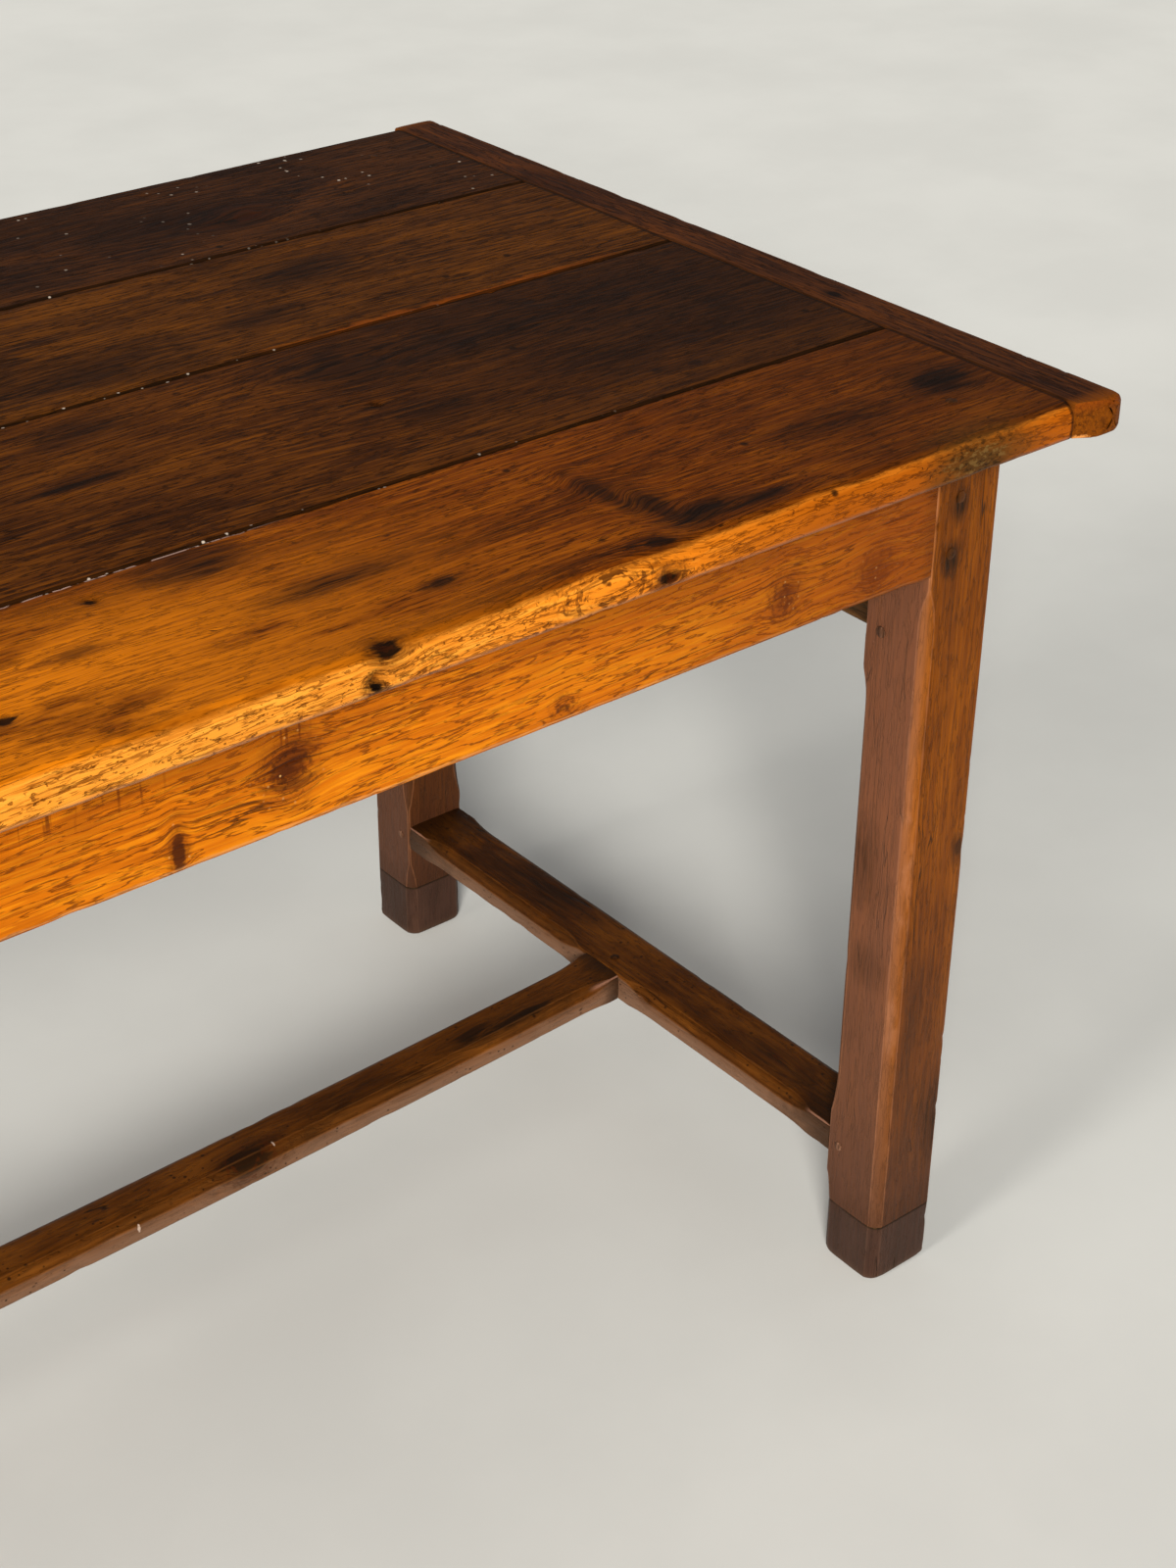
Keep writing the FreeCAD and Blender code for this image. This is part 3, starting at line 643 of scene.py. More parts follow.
leg_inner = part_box("leg_back_right")[0]
for number, face in enumerate(FACES):
    name = "long_apron_" + face
    low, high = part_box(name)
    along = stations(-leg_inner.x, leg_inner.x)
    rail = timber("worn_" + name, "xyz", along, *limits(along, low.yz, high.yz), apron_chamfers(along),
                  (6, 18, 6, 18), seed=41 + number, dents=70, nicks=40)
    front = low.y if face == "front" else high.y
    marks = [((0.361, front, 0.679), (0.011, 0.012, 0.013), 0.6, 0.45, 0.8, 0.6),
             ((0.286, front, 0.653), (0.004, 0.010, 0.012), 0.5, 0.85, 0.6, 0.3),
             ((0.742, front, 0.667), (0.009, 0.012, 0.010), 0.6, 0.3, 0.7, 0.7),
             ((0.827, front, 0.662), (0.011, 0.012, 0.010), 0.6, 0.3, 0.65, 0.65),
             ((0.560, front, 0.650), (0.007, 0.012, 0.006), 0.6, 0.0, 0.35, 0.5),
             ((-0.31, front, 0.69), (0.014, 0.012, 0.012), 0.9, 0.0, 0.45, 0.5),
             ((-0.64, front, 0.66), (0.010, 0.012, 0.010), 0.9, 0.5, 0.4, 0.5)]
    oak = Oak(name + "_oak", apron_tones, shift=(1.3 * number, 0.28, -0.74), marks=marks, wander=0.02,
              contrast=0.17, stain=(104, 42, 4), heart=(66, 24, 4))
    tree = oak.tree
    x, _, z = oak.spot
    chatter = eased(tree, streaks(tree, oak.place, (240.0, 0.0, 14.0), 1.0), 0.56, 0.66)
    planed = eased(tree, z, high.z - 0.046, high.z - 0.030)
    for centre, half_width in chatter_spots:
        off_centre = maths(tree, "ABSOLUTE", maths(tree, "SUBTRACT", x, centre))
        struck = product(tree, planed, eased(tree, off_centre, half_width, 0.6 * half_width))
        oak.lay(0.75, (84, 34, 5), chatter, struck)
    # Inner faces, in under the table: painted shade.
    oak.lay(0.85, (80, 52, 28), facing(oak, 1, -1))
    oak.lay(0.5, (116, 50, 3), eased(tree, oak.figure["Clouds"], 0.44, 0.58),
            eased(tree, z, low.z + 0.02, high.z - 0.03))
    oak.mark()
    for mark, *_ in oak.marks[:dusty_knots]:
        oak.dust(mark["Halo"], 240.0, 0.3, (232, 176, 104))
    oak.rub(0.003, 0.45, (222, 158, 96))
    # A dark strip along the top: painted shadow of the top's overhanging front edge.
    oak.lay(0.6, (74, 32, 4), eased(tree, z, high.z - 0.012, high.z))
    # Darker towards the right end: painted falloff of the light.
    oak.lay(0.8, (108, 46, 2), eased(tree, x, 0.50, 0.90))
    oak.grime_and_shadow(0.02, 0.4, (70, 32, 6))
    fit(rail, oak.wax(), "oak_frame", name)

for number, end in enumerate(ENDS):
    name = "end_apron_" + end
    low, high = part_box(name)
    along = stations(-leg_inner.y, leg_inner.y)
    rail = timber("worn_" + name, "yzx", along, *limits(along, (low.z, low.x), (high.z, high.x)),
                  apron_chamfers(along)[:, (0, 2, 3, 1)], (6, 30, 6, 30), seed=51 + number, dents=40)
    oak = Oak(name + "_oak", end_apron_tones, TURN_FROM_Y, (0.9 * number, 0.2, -0.5), wander=0.05)
    # Inner faces, under the table: painted shade.
    oak.lay(0.9, (54, 41, 25), facing(oak, 0, -1))
    oak.rub(0.003, 0.3, (160, 112, 60))
    oak.grime_and_shadow(0.03, 0.45, (52, 30, 14))
    fit(rail, oak.wax(), "oak_frame", name)

# Stretchers
# Flat oak bars low between the legs, chamfered on all four arrises, with the centre bar tenoned into
# the two end bars. Shoes have polished the tops dark and left the sides dusty.
upper_chamfer = 0.008
lower_chamfer = 0.005
stretcher_stop_length = 0.034
stretcher_leg_margin = 0.020
stretcher_joint_margin = 0.007
centre_stop_margin = 0.004
centre_sag = 0.020
end_bar_tones = ((34, 14, 2), (69, 33, 4), (106, 58, 11))
centre_bar_tones = ((44, 20, 4), (84, 43, 8), (118, 66, 16))
# How far the end bars darken by the legs: grime and the legs' painted shadow.
end_bar_grime_and_shadow = 0.09
centre_bar_grime = 0.03
chip_size = (0.0011, 0.003, 0.0038)
centre_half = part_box("centre_stretcher")[1].y
stops = (stretcher_stop_length, stretcher_stop_length)


def finish_stretcher(bar, name, tones, turn, shift, marks, grime_and_shadow_width, chips=()):
    """Dark polished top with worm specks, dusty sides, grime and painted shadow at joints, pale chips."""
    oak = Oak(name + "_oak", tones, turn, shift, marks=marks, ring_width=0.006, contrast=0.14, pores=0.3,
              weights=(0.74, 0.1, 0.16))
    tree = oak.tree
    upright = oak.look[2]
    oak.lay(0.68, (130, 97, 75), eased(tree, upright, 0.45, -0.1))
    slope = product(tree, eased(tree, upright, 0.4, 0.65), eased(tree, upright, 0.95, 0.8))
    oak.lay(0.2, (112, 68, 30), slope)
    oak.dust(eased(tree, oak.figure["Clouds"], 0.44, 0.52), 130.0, 0.22, (28, 13, 5))
    oak.dust(eased(tree, oak.figure["Bands"], 0.46, 0.54), 200.0, 0.25, (20, 9, 4))
    oak.mark()
    for centre in chips:
        oak.lay(0.75, (200, 176, 158), oak.knot(oak.place, centre, chip_size)["Core"])
    oak.rub(0.0025, 0.16, (160, 98, 44))
    # Grime and painted shadow at the joints, longest on the end bars where the legs shade them.
    oak.grime_and_shadow(grime_and_shadow_width, 0.8, (24, 12, 6))
    # Pale chamfer stops near the joints: painted highlight.
    oak.lay(0.55, (160, 114, 92), slope, eased(tree, oak.reach, 0.032, 0.018))
    fit(bar, oak.wax(), "oak_frame", name)


for number, (end, side) in enumerate(ENDS.items()):
    name = "end_stretcher_" + end
    low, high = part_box(name)
    along = stations(-leg_inner.y, leg_inner.y)
    far = leg_inner.y - stretcher_leg_margin
    close = centre_half + stretcher_joint_margin
    columns = []
    for x_side, size in ((-1, lower_chamfer), (1, lower_chamfer), (1, upper_chamfer), (-1, upper_chamfer)):
        if x_side == side:
            run = stopped(along, -far, far, size, *stops)
        else:
            run = stopped(along, -far, -close, size, *stops) + stopped(along, close, far, size, *stops)
        columns.append(np.maximum(run, least_arris))
    chamfers = np.stack(columns, 1)
    low_limits, high_limits = limits(along, (low.z, low.x), (high.z, high.x))
    bar = timber("worn_" + name, "yzx", along, low_limits, high_limits, chamfers[:, (0, 3, 2, 1)],
                 (8, 14, 8, 14), seed=61 + number, wear=0.0007, dents=40, nicks=24)
    marks = [((side * 0.907, -0.19, high.z), (0.010, 0.03, 0.01), 0.6, 0.0, 0.5, 0.3),
             ((side * 0.925, 0.12, high.z), (0.012, 0.05, 0.01), 0.6, 0.0, 0.45, 0.0)]
    finish_stretcher(bar, name, end_bar_tones, TURN_FROM_Y, (0.6 * number, 0.84, -0.05), marks, end_bar_grime_and_shadow)

inner_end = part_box("end_stretcher_right")[0].x
along = stations(-inner_end, inner_end)
sag = centre_sag * (1 - (along / inner_end) ** 2)
far = inner_end - centre_stop_margin
columns = [np.maximum(stopped(along, -far, far, size, *stops), least_arris)
           for size in (lower_chamfer, lower_chamfer, upper_chamfer, upper_chamfer)]
low_limits, high_limits = limits(along, (-centre_half, stretcher_low.z), (centre_half, stretcher_high.z))
low_limits[:, 1] -= sag
high_limits[:, 1] -= sag
bar = timber("worn_centre_stretcher", "xyz", along, low_limits, high_limits, np.stack(columns, 1),
             (12, 8, 12, 8), seed=71, swell=0.0005, wear=0.0008, dents=90, nicks=50)
marks = [((0.507, -0.016, 0.112), (0.022, 0.010, 0.012), 0.9, 0.75, 0.6, 0.5),
         ((0.782, -0.012, 0.122), (0.030, 0.006, 0.010), 0.6, 0.8, 0.5, 0.0),
         ((0.742, -0.004, 0.120), (0.020, 0.006, 0.010), 0.5, 0.6, 0.4, 0.0),
         ((-0.42, 0.006, 0.110), (0.024, 0.010, 0.012), 0.9, 0.7, 0.5, 0.5)]
chips = ((0.401, -centre_half, 0.102), (0.530, -0.015, 0.113))
finish_stretcher(bar, "centre_stretcher", centre_bar_tones, (0.0, 0.0, 0.0), (0.0, 0.09, -0.05), marks,
                 centre_bar_grime, chips)

# Tabletop planks
# Four oak planks of uneven width, tongued together. The back ones are dark with old wax, the front
# one is bleached golden with a painted pool of light on its left and painted shade to its right, and
# its rounded front edge is worn through the finish to pitted bright wood.
nose_radius = 0.009
lower_round = 0.004
seam_arris = 0.0012
seam_gap = 0.0008
mark_depth = 0.012
hollow_core = 0.85
hollow_depth = 0.0025
nose_knot_height = 0.743
nose_strength = {"front": 1.0, "back": 0.4}
rot_size = (0.030, 0.020, 0.012)
front_seam = -0.2105
middle_seam = (-0.0010, 0.0225)
back_seam = 0.205
plank_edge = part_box("top_plank_back")[1].y
top_height = cad_high.z
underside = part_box("leg_front_right")[1].z
plank_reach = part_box("breadboard_right")[0].x - seam_gap
seams = {"front": ((-plank_edge,) * 2, (front_seam,) * 2), "wide": ((front_seam,) * 2, middle_seam),
         "inner": (middle_seam, (back_seam,) * 2), "back": ((back_seam,) * 2, (plank_edge,) * 2)}
plank_tones = {"front": ((60, 26, 2), (108, 49, 3), (154, 80, 7)),
               "wide": ((39, 17, 3), (77, 38, 6), (114, 61, 10)),
               "inner": ((37, 17, 4), (72, 37, 6), (110, 60, 10)),
               "back": ((30, 15, 8), (53, 28, 12), (84, 45, 15))}
# Knots and stains by plank: place along and across, length, width, swirl, core and halo
top_marks = {
    "front": ((0.919, -0.304, 0.022, 0.016, 0.3, 0.6, 0.85), (0.623, -0.303, 0.006, 0.019, 0.5, 0.3, 0.75),
              (0.637, -0.335, 0.009, 0.019, 0.5, 0.45, 0.75), (0.656, -0.359, 0.020, 0.009, 0.6, 0.6, 0.75),
              (0.688, -0.366, 0.024, 0.005, 0.6, 0.6, 0.7), (0.609, -0.374, 0.012, 0.006, 0.8, 0.8, 0.6),
              (0.373, -0.232, 0.022, 0.013, 0.4, 0.0, 0.85), (0.425, -0.300, 0.030, 0.007, 0.4, 0.0, 0.8),
              (0.474, -0.340, 0.010, 0.004, 0.3, 0.6, 0.6), (0.305, -0.237, 0.005, 0.003, 0.3, 0.9, 0.4),
              (0.267, -0.286, 0.012, 0.004, 0.4, 0.3, 0.45), (0.201, -0.327, 0.007, 0.005, 0.4, 0.95, 0.5),
              (0.405, -0.381, 0.009, 0.006, 0.8, 0.95, 0.6), (0.813, -0.310, 0.040, 0.012, 0.3, 0.0, 0.5),
              (-0.12, -0.300, 0.030, 0.012, 0.9, 0.5, 0.7), (-0.55, -0.270, 0.040, 0.008, 0.8, 0.0, 0.7)),
    "wide": ((0.612, -0.033, 0.030, 0.018, 0.6, 0.0, 0.8), (0.699, -0.040, 0.060, 0.022, 0.5, 0.0, 0.65),
             (0.594, -0.104, 0.004, 0.003, 0.3, 0.9, 0.4), (0.629, -0.136, 0.030, 0.010, 0.4, 0.0, 0.55),
             (0.380, -0.094, 0.030, 0.003, 0.4, 0.7, 0.6), (0.415, -0.021, 0.025, 0.010, 0.3, 0.0, 0.7),
             (0.809, -0.178, 0.006, 0.003, 0.3, 0.7, 0.4), (0.779, -0.172, 0.005, 0.003, 0.3, 0.6, 0.3),
             (0.860, -0.060, 0.110, 0.080, 0.0, 0.0, 0.75), (-0.300, -0.120, 0.050, 0.020, 0.9, 0.3, 0.7),
             (-0.700, -0.060, 0.040, 0.014, 0.8, 0.0, 0.6)),
    "inner": ((0.696, 0.139, 0.030, 0.014, 0.4, 0.0, 0.8), (0.620, 0.080, 0.022, 0.010, 0.4, 0.0, 0.65),
              (0.480, 0.060, 0.050, 0.012, 0.5, 0.0, 0.5), (-0.200, 0.110, 0.040, 0.014, 0.8, 0.3, 0.6),
              (-0.620, 0.150, 0.030, 0.010, 0.7, 0.0, 0.6)),
    "back": ((0.673, 0.290, 0.050, 0.018, 0.6, 0.0, 0.8), (0.717, 0.274, 0.020, 0.014, 1.0, 0.0, 0.7),
             (0.560, 0.330, 0.060, 0.016, 0.5, 0.0, 0.5), (-0.250, 0.300, 0.050, 0.016, 0.8, 0.0, 0.7)),
}
nose_marks = [((0.395, -plank_edge, nose_knot_height), (0.006, 0.008, 0.005), 0.8, 1.0, 0.5, 0.6),
              ((0.605, -plank_edge, nose_knot_height), (0.008, 0.008, 0.005), 0.8, 0.9, 0.5, 0.4),
              ((0.562, -plank_edge, 0.747), (0.026, 0.012, 0.011), 0.9, 0.0, 0.0, 0.65)]
nose_hollows = [((0.395, -plank_edge, nose_knot_height), 0.006, 0.006),
                ((0.605, -plank_edge, nose_knot_height), 0.006, 0.004)]
rot_place = (0.868, -plank_edge, 0.744)
crumb = (206, 190, 172)


def seam_run(along, seam):
    """How far across the top a seam lies at each station, from its left end to its right one."""
    share = (along + plank_reach) / (2 * plank_reach)
    return seam[0] + (seam[1] - seam[0]) * share


def sun_bleach_and_light_falloff(oak):
    """The front plank: left sun-bleached golden with painted light, right end browned with painted shade."""
    tree = oak.tree
    x, y, _ = oak.spot
    sunned_and_lit = product(tree, eased(tree, y, -0.20, -0.29), eased(tree, x, 0.58, 0.18),
                     eased(tree, oak.figure["Clouds"], 0.66, 0.50))
    # Golden left: partly sun bleaching, partly a painted pool of light.
    oak.lay(0.9, (222, 123, 12), sunned_and_lit)
    oak.lay(0.5, (126, 60, 4), sunned_and_lit, eased(tree, oak.figure["Fibres"], 0.50, 0.36))
    oak.lay(0.6, (92, 42, 4), sunned_and_lit, oak.figure["Pores"])
    # Darker to the right: partly browned wood, partly painted falloff of the light.
    oak.lay(0.45, (58, 28, 5), eased(tree, x, 0.55, 0.85))
    oak.lay(0.35, (48, 25, 9), eased(tree, x, 0.84, 0.96))


def worn_nose_and_shade(oak, strength):
    """Rounded edge worn through to bright wood, browner with painted shade to the right, pitted, cracked and
    dusty.
    """
    tree = oak.tree
    x, y, z = oak.spot
    ragged = maths(tree, "ADD", maths(tree, "ABSOLUTE", y),
                   product(tree, maths(tree, "SUBTRACT", oak.fray, 0.5), 0.010))
    nose = product(tree, eased(tree, ragged, plank_edge - 0.0065, plank_edge - 0.002), strength)
    worn = product(tree, nose, eased(tree, x, 0.72, 0.42))
    oak.lay(0.92, (234, 147, 48), nose)
    # Browner to the right: partly the wood's own tone, partly painted falloff of the light.
    oak.lay(0.85, (226, 122, 14), nose, eased(tree, x, 0.25, 0.70))
    oak.lay(0.85, (140, 66, 5), nose, eased(tree, x, 0.54, 0.76))
    oak.lay(0.5, (150, 76, 8), nose, eased(tree, oak.figure["Fibres"], 0.50, 0.36))
    oak.lay(0.45, (236, 164, 60), worn, oak.figure["Glints"])
    oak.lay(0.65, (104, 48, 5), nose, oak.figure["Pores"])
    pits = streaks(tree, oak.grain, (150.0, 300.0, 300.0), 2.0, 0.6)
    pits = product(tree, eased(tree, pits, 0.62, 0.67), worn)
    oak.lay(0.7, (92, 42, 6), pits)
    oak.carve(pits, 1.8)
    cracks = threads(tree, streaks(tree, oak.grain, (26.0, 170.0, 170.0), 3.0, 0.6), 0.022, 0.004)
    cracks = product(tree, cracks, nose, eased(tree, oak.fray, 0.44, 0.56))
    oak.lay(0.65, (84, 36, 4), cracks)
    oak.carve(cracks, 1.6)
    oak.lay(0.6, (150, 110, 90), nose, eased(tree, z, underside + 0.006, underside + 0.002))


def rot(oak):
    """A dark, crumbled patch in the front edge near its right end."""
    tree = oak.tree
    patch = oak.knot(oak.place, rot_place, rot_size)
    mottle = streaks(tree, oak.place, (190.0, 330.0, 330.0), 3.0, 0.6)
    oak.lay(0.95, (70, 46, 17), patch["Halo"])
    oak.lay(0.35, (128, 100, 54), patch["Core"], eased(tree, mottle, 0.54, 0.62))
    oak.lay(0.75, (30, 20, 9), patch["Halo"], eased(tree, mottle, 0.48, 0.38))


for number, (plank, (front, back)) in enumerate(seams.items()):
    name = "top_plank_" + plank
    along = stations(-plank_reach, plank_reach)
    front_gap = 0 if plank == "front" else seam_gap / 2
    back_gap = 0 if plank == "back" else seam_gap / 2
    low_limits = np.stack([seam_run(along, front) + front_gap, np.full(len(along), underside)], 1)
    high_limits = np.stack([seam_run(along, back) - back_gap, np.full(len(along), top_height)], 1)
    sizes = np.full(4, seam_arris)
    marks = [((x, y, top_height), (length, width, mark_depth), swirl, core, 0.9 * halo,
              0.3 if swirl > 0.75 else 0.0)
             for x, y, length, width, swirl, core, halo in top_marks[plank]]
    hollows = [((x, y, top_height), 1.2 * width, hollow_depth)
               for x, y, _, width, _, core, _ in top_marks[plank] if core > hollow_core]
    if plank == "front":
        sizes[[0, 3]] = lower_round, nose_radius
        marks += nose_marks
        hollows += nose_hollows
    if plank == "back":
        sizes[[1, 2]] = lower_round, nose_radius
    board = timber("worn_" + name, "xyz", along, low_limits, high_limits, np.tile(sizes, (len(along), 1)),
                   (16, 6, 44, 6), seed=81 + number, swell=0.0004, dents=150, nicks=50, hollows=hollows)
    oak = Oak(name + "_oak", plank_tones[plank], shift=(0.9 * number, -0.03 * number, -0.66), marks=marks,
              wander=0.04, ring_width=0.0055)
    tree = oak.tree
    x, y, _ = oak.spot
    if plank == "front":
        sun_bleach_and_light_falloff(oak)
    if plank == "wide":
        # Darker towards the right end: painted falloff of the light.
        oak.lay(0.45, (36, 20, 10), eased(tree, x, 0.45, 0.90))
    if plank in nose_strength:
        worn_nose_and_shade(oak, nose_strength[plank])
    oak.mark()
    if plank == "inner":
        strip = use_group(tree, worn_arris, {"Place": oak.grain, "Inset": oak.inset, "Width": 0.016})["Wear"]
        oak.lay(0.6, (150, 72, 10), strip, eased(tree, y, 0.07, 0.04), eased(tree, x, 0.56, 0.66),
                eased(tree, x, 0.95, 0.80))
    inboard = eased(tree, maths(tree, "ABSOLUTE", y), plank_edge - 0.012, plank_edge - 0.030)
    seam_line = product(tree, eased(tree, oak.inset, 0.0018, 0.0006), inboard)
    oak.lay(0.85, (20, 11, 6), seam_line)
    oak.roughness = maths(tree, "ADD", oak.roughness, product(tree, seam_line, 0.6), clamp=True)
    oak.lay(0.8, (22, 12, 6), eased(tree, oak.reach, 0.0035, 0.001))
    if plank == "front":
        rot(oak)
        packed = product(tree, seam_line, eased(tree, cloud(tree, oak.place, 90.0), 0.44, 0.50))
        oak.lay(0.9, (190, 156, 142), packed, eased(tree, x, 0.46, 0.38))
    oak.dust(product(tree, seam_line, eased(tree, x, 0.80, 0.4)), 170.0, 0.35, crumb)
    oak.dust(eased(tree, oak.figure["Clouds"], 0.50, 0.58), 62.0, 0.10, (26, 13, 5))
    if plank == "back":
        oak.dust(eased(tree, cloud(tree, oak.place, 9.0), 0.5, 0.66), 150.0, 0.16, crumb)
    fit(board, oak.wax(0.05), "oak_top", name)

# Breadboard ends
# A narrow board across each end of the planks, grooved over their tongues. The grain runs across the
# table, the corners are worn round and the cut ends show golden end grain.
breadboard_corner = 0.009
breadboard_round = 0.005
front_growth = 0.003
back_wear = 0.0025
end_skew = 0.028
end_rounds = (0.005, 0.005)
breadboard_tones = ((36, 17, 8), (60, 31, 15), (92, 48, 18))
splinter_out = 0.006
splinter_forward = 0.001
splinter_size = (0.008, 0.008, 0.005)
splinter_radius = 0.006
splinter_depth = 0.003
for number, (end, side) in enumerate(ENDS.items()):
    name = "breadboard_" + end
    low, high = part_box(name)
    start = low.y - front_growth
    finish = high.y - back_wear
    along = stations(start, finish, end_rounds)
    gap = np.minimum(along - start, finish - along)
    near = np.clip(breadboard_corner - gap, 0, breadboard_corner)
    pull = breadboard_corner - np.sqrt(np.maximum(breadboard_corner ** 2 - near ** 2, 0))
    skew = end_skew * np.clip((-plank_edge - along) / (-plank_edge - start), 0, 1)
    low_limits, high_limits = limits(along, (low.z, low.x), (high.z, high.x))
    if side > 0:
        high_limits[:, 1] -= pull
        low_limits[:, 1] += skew
        sizes = (least_arris, least_arris, breadboard_round, lower_round)
    else:
        low_limits[:, 1] += pull
        high_limits[:, 1] -= skew
        sizes = (lower_round, breadboard_round, least_arris, least_arris)
    splinter_place = (side * (plank_reach + splinter_out), -plank_edge - splinter_forward, low.z)
    board = timber("worn_" + name, "yzx", along, low_limits, high_limits, np.tile(sizes, (len(along), 1)),
                   (8, 10, 8, 10), seed=91 + number, ends=end_rounds, swell=0.0004, dents=60, nicks=24,
                   hollows=[(splinter_place, splinter_radius, splinter_depth)])
    marks = [((side * 0.977, -0.140, top_height), (0.005, 0.007, 0.01), 0.4, 0.8, 0.6, 0.0),
             ((side * 0.975, 0.180, top_height), (0.008, 0.030, 0.01), 0.6, 0.0, 0.5, 0.3)]
    oak = Oak(name + "_oak", breadboard_tones, TURN_FROM_Y, (0.5 * number, side * 0.9, -0.70), marks=marks,
              ring_width=0.0028)
    tree = oak.tree
    x, y, z = oak.spot
    oak.mark()
    oak.rub(0.004, 0.35, (112, 60, 20))
    joint = eased(tree, maths(tree, "ABSOLUTE", x), plank_reach + 0.005, plank_reach + 0.002)
    oak.lay(0.8, (22, 12, 6), joint, eased(tree, oak.inset, 0.0018, 0.0006))
    oak.lay(0.55, (128, 66, 9),
            eased(tree, maths(tree, "ABSOLUTE", y), plank_edge - 0.014, plank_edge + 0.001))
    cut_end = facing(oak, 1, 1)
    end_grain = cloud(tree, oak.place, 330.0, 3.0, 0.65)
    oak.lay(0.85, (112, 57, 6), cut_end)
    oak.lay(0.6, (60, 28, 6), cut_end, eased(tree, end_grain, 0.50, 0.60))
    oak.lay(0.3, (90, 42, 8), cut_end, oak.figure["Rings"])
    oak.lay(0.5, (120, 52, 10), cut_end, eased(tree, z, top_height - 0.010, top_height))
    oak.lay(0.85, (204, 134, 70), oak.knot(oak.place, splinter_place, splinter_size)["Core"])
    fit(board, oak.wax(0.05), "oak_top", name)

# Pegs
# Riven oak pegs that pin the tenons and the top, cut off a little proud and darkened with wax. Their
# ends are faceted by the knife and slightly domed.
peg_facets = 9
peg_dome = 0.0008
peg_extra = 0.0007
peg_seed = 5


def peg_tree(name, material):
    """Geometry nodes that set a faceted, domed peg on every point, turned at random about its length."""
    tree, take, give = new_group(
        name, {"Geometry": "Geometry", "Radius": "Float", "Length": "Float", "Dome": "Float"},
        {"Geometry": "Geometry"}, "GeometryNodeTree")
    shaft = node(tree, "GeometryNodeMeshCylinder",
                 {"Vertices": peg_facets, "Side Segments": 2, "Fill Segments": 3,
                  "Radius": take["Radius"], "Depth": take["Length"]}).outputs["Mesh"]
    place = node(tree, "GeometryNodeInputPosition").outputs[0]
    height = node(tree, "SeparateXYZ", {0: place}).outputs[2]
    flat = vectors(tree, "MULTIPLY", place, (1.0, 1.0, 0.0))
    out = node(tree, "VectorMath", {0: flat}, operation="LENGTH").outputs[1]
    share = maths(tree, "DIVIDE", out, take["Radius"])
    sink = product(tree, share, share, take["Dome"], maths(tree, "SIGN", height), -1.0)
    shift = node(tree, "CombineXYZ", {2: sink}).outputs[0]
    domed = node(tree, "GeometryNodeSetPosition", {"Geometry": shaft, "Offset": shift}).outputs[0]
    turn = node(tree, "FunctionNodeRandomValue", {3: 2 * math.pi, "Seed": peg_seed}, data_type="FLOAT")
    spin = node(tree, "CombineXYZ", {2: turn.outputs[1]}).outputs[0]
    twist = node(tree, "FunctionNodeEulerToRotation", {0: spin}).outputs[0]
    lie = node(tree, "GeometryNodeInputNamedAttribute", {"Name": "lie"}, data_type="FLOAT_VECTOR").outputs[0]
    lean = node(tree, "FunctionNodeAlignRotationToVector", {"Vector": lie}, axis="Z").outputs[0]
    turned = node(tree, "FunctionNodeRotateRotation", {0: lean, 1: twist}, rotation_space="LOCAL").outputs[0]
    points = node(tree, "GeometryNodeMeshToPoints", {"Mesh": take["Geometry"]}).outputs[0]
    laid = node(tree, "GeometryNodeInstanceOnPoints",
                {"Points": points, "Instance": domed, "Rotation": turned}).outputs[0]
    real = node(tree, "GeometryNodeRealizeInstances", {0: laid}).outputs[0]
    dressed = node(tree, "GeometryNodeSetMaterial", {0: real, "Material": material}).outputs[0]
    tree.links.new(dressed, give[0])
    return tree


def peg_places(node_name):
    """The box of each peg in a group of pegs."""
    shell = bmesh.new()
    shell.from_mesh(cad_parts[node_name].data)
    bmesh.ops.remove_doubles(shell, verts=shell.verts, dist=1e-5)
    left = set(shell.verts)
    boxes = []
    while left:
        found = {left.pop()}
        edge = set(found)
        while edge:
            edge = {other for v in edge for e in v.link_edges for other in e.verts} - found
            found |= edge
        left -= found
        places = np.array([v.co for v in found])
        boxes.append((places.min(0), places.max(0)))
    shell.free()
    return sorted(boxes, key=lambda box: tuple(box[0].round(4)))


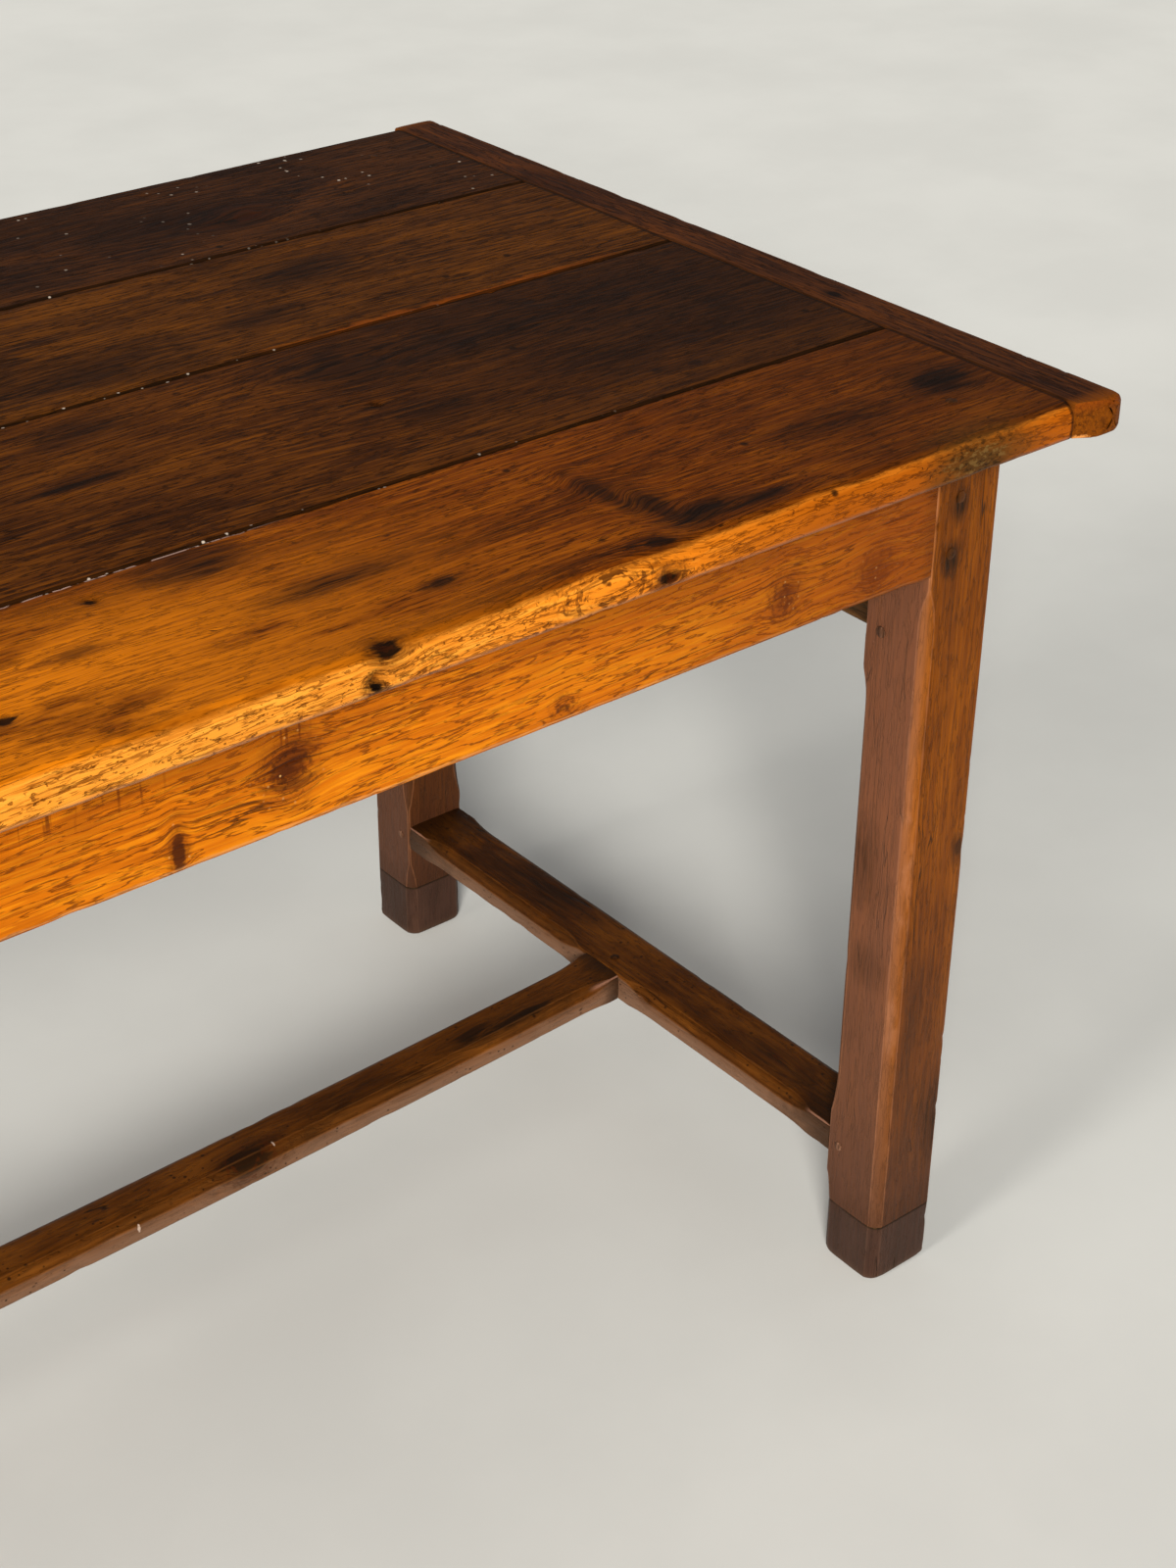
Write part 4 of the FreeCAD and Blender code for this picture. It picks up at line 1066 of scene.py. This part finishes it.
peg_tones = ((30, 15, 5), (54, 27, 9), (84, 46, 18))
inner_peg_tones = ((44, 24, 16), (86, 56, 40), (126, 90, 70))
for number, group in enumerate(("long_apron_pegs", "end_apron_pegs", "end_stretcher_pegs",
                                "centre_stretcher_pegs", "top_pegs")):
    boxes = peg_places(group)
    size = boxes[0][1] - boxes[0][0]
    length_axis = int(np.argmax(size))
    radius = float(np.min(size)) / 2
    length = float(size[length_axis])
    points = bpy.data.meshes.new(group + "_points")
    points.from_pydata([((low + high) / 2).tolist() for low, high in boxes], [], [])
    lie = np.zeros((len(boxes), 3), np.float32)
    lie[:, length_axis] = 1.0
    points.attributes.new("lie", "FLOAT_VECTOR", "POINT").data.foreach_set("vector", lie.ravel())
    tones = inner_peg_tones if length_axis == 0 else peg_tones
    oak = Oak(group + "_oak", tones, TURN_FROM_Z, (0.3 * number, 0.01, 0.01), ring_width=0.002)
    material = oak.wax()
    holder = bpy.data.objects.new(group + "_points", points)
    bpy.context.scene.collection.objects.link(holder)
    setter = holder.modifiers.new("pegs", "NODES")
    setter.node_group = peg_tree(group + "_tree", material)
    values = {"Radius": radius, "Length": length + 2 * peg_extra, "Dome": peg_dome}
    for item in setter.node_group.interface.items_tree:
        if item.in_out == "INPUT" and item.name in values:
            setter[item.identifier] = values[item.name]
    depsgraph = bpy.context.evaluated_depsgraph_get()
    mesh = bpy.data.meshes.new_from_object(holder.evaluated_get(depsgraph))
    mesh.name = "riven_" + group
    bpy.data.objects.remove(holder)
    pegs = bpy.data.objects.new("riven_" + group, mesh)
    bpy.context.scene.collection.objects.link(pegs)
    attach(pegs, "root")
    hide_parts(group)

# Hidden dowels and blind pegs
# Oak dowels inside the feet and blind pegs under the breadboard ends, cut from the pegs' dark oak. They
# keep the plain shapes of the construction.
for number, group in enumerate(("breadboard_pegs", "foot_dowels")):
    oak = Oak(group + "_oak", peg_tones, TURN_FROM_Z, (0.2 * number, 0.03, 0.02), ring_width=0.002)
    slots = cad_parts[group].data.materials
    slots.clear()
    slots.append(oak.wax())

# Studio
# A pale painted floor under two far, even lamps, the stronger from low behind the camera and the weaker
# from the left end, in a plain grey surround.
floor_reach = 9.0
floor_color = tint(218, 218, 213)
floor_roughness = 0.8
lamp_breadth = math.radians(17.0)
lamp_color = (1.0, 0.97, 0.92)
surround_color = (0.55, 0.56, 0.58, 1.0)
surround_strength = 0.40


def plain_paint(name, color, roughness):
    """Matt paint with faint roller mottling."""
    material = bpy.data.materials.new(name)
    material.use_nodes = True
    tree = material.node_tree
    tree.nodes.clear()
    place = node(tree, "TexCoord").outputs["Object"]
    mottle = eased(tree, cloud(tree, place, 3.0, 5.0), 0.3, 0.7)
    faded = tuple(0.94 * value for value in color[:3]) + (1.0,)
    surface = node(tree, "BsdfPrincipled", {"Base Color": mixed(tree, mottle, color, faded),
                                            "Roughness": roughness, "Specular IOR Level": 0.05})
    node(tree, "OutputMaterial", {"Surface": surface.outputs[0]})
    return material


mesh = bpy.data.meshes.new("studio_floor")
mesh.from_pydata([(-floor_reach, -floor_reach, 0), (floor_reach, -floor_reach, 0),
                  (floor_reach, floor_reach, 0), (-floor_reach, floor_reach, 0)], [], [(0, 1, 2, 3)])
mesh.materials.append(plain_paint("pale_floor_paint", floor_color, floor_roughness))
sheet = bpy.data.objects.new("studio_floor", mesh)
bpy.context.scene.collection.objects.link(sheet)


def far_lamp(name, aim, strength):
    """A broad lamp so far off that its light falls evenly along one direction."""
    lamp = bpy.data.lights.new(name, "SUN")
    lamp.angle = lamp_breadth
    lamp.energy = strength
    lamp.color = lamp_color
    holder = bpy.data.objects.new(name, lamp)
    holder.rotation_euler = Vector(aim).to_track_quat("-Z", "Y").to_euler()
    bpy.context.scene.collection.objects.link(holder)


far_lamp("key_lamp", aim=(3.65, 4.05, -2.5), strength=4.4)
far_lamp("left_lamp", aim=(6.0, 0.45, -2.1), strength=2.1)

world = bpy.data.worlds.new("studio_surround")
world.use_nodes = True
world.node_tree.nodes["Background"].inputs["Color"].default_value = surround_color
world.node_tree.nodes["Background"].inputs["Strength"].default_value = surround_strength
bpy.context.scene.world = world

# Camera
# Stands at the front left of the table at standing height and looks down over its right-hand corner.
camera_place = Vector((-0.3038, -1.4166, 1.4248))
camera_turn = math.radians(39.5024)
camera_dip = math.radians(31.0894)
camera_roll = math.radians(0.5671)
film_width = 36.0
lens_length = 59.184
farthest_view = 60.0
forward = Vector((math.sin(camera_turn) * math.cos(camera_dip), math.cos(camera_turn) * math.cos(camera_dip),
                  -math.sin(camera_dip)))
level = Vector((math.cos(camera_turn), -math.sin(camera_turn), 0.0))
above = level.cross(forward)
rolled_level = level * math.cos(camera_roll) + above * math.sin(camera_roll)
rolled_above = above * math.cos(camera_roll) - level * math.sin(camera_roll)
lens = bpy.data.cameras.new("table_camera")
lens.sensor_fit = "AUTO"
lens.sensor_width = film_width
lens.lens = lens_length
lens.clip_end = farthest_view
camera = bpy.data.objects.new("table_camera", lens)
turning = Matrix((rolled_level, rolled_above, -forward)).transposed()
camera.matrix_world = Matrix.Translation(camera_place) @ turning.to_4x4()
bpy.context.scene.collection.objects.link(camera)
bpy.context.scene.camera = camera
bpy.context.scene.view_settings.view_transform = "Standard"
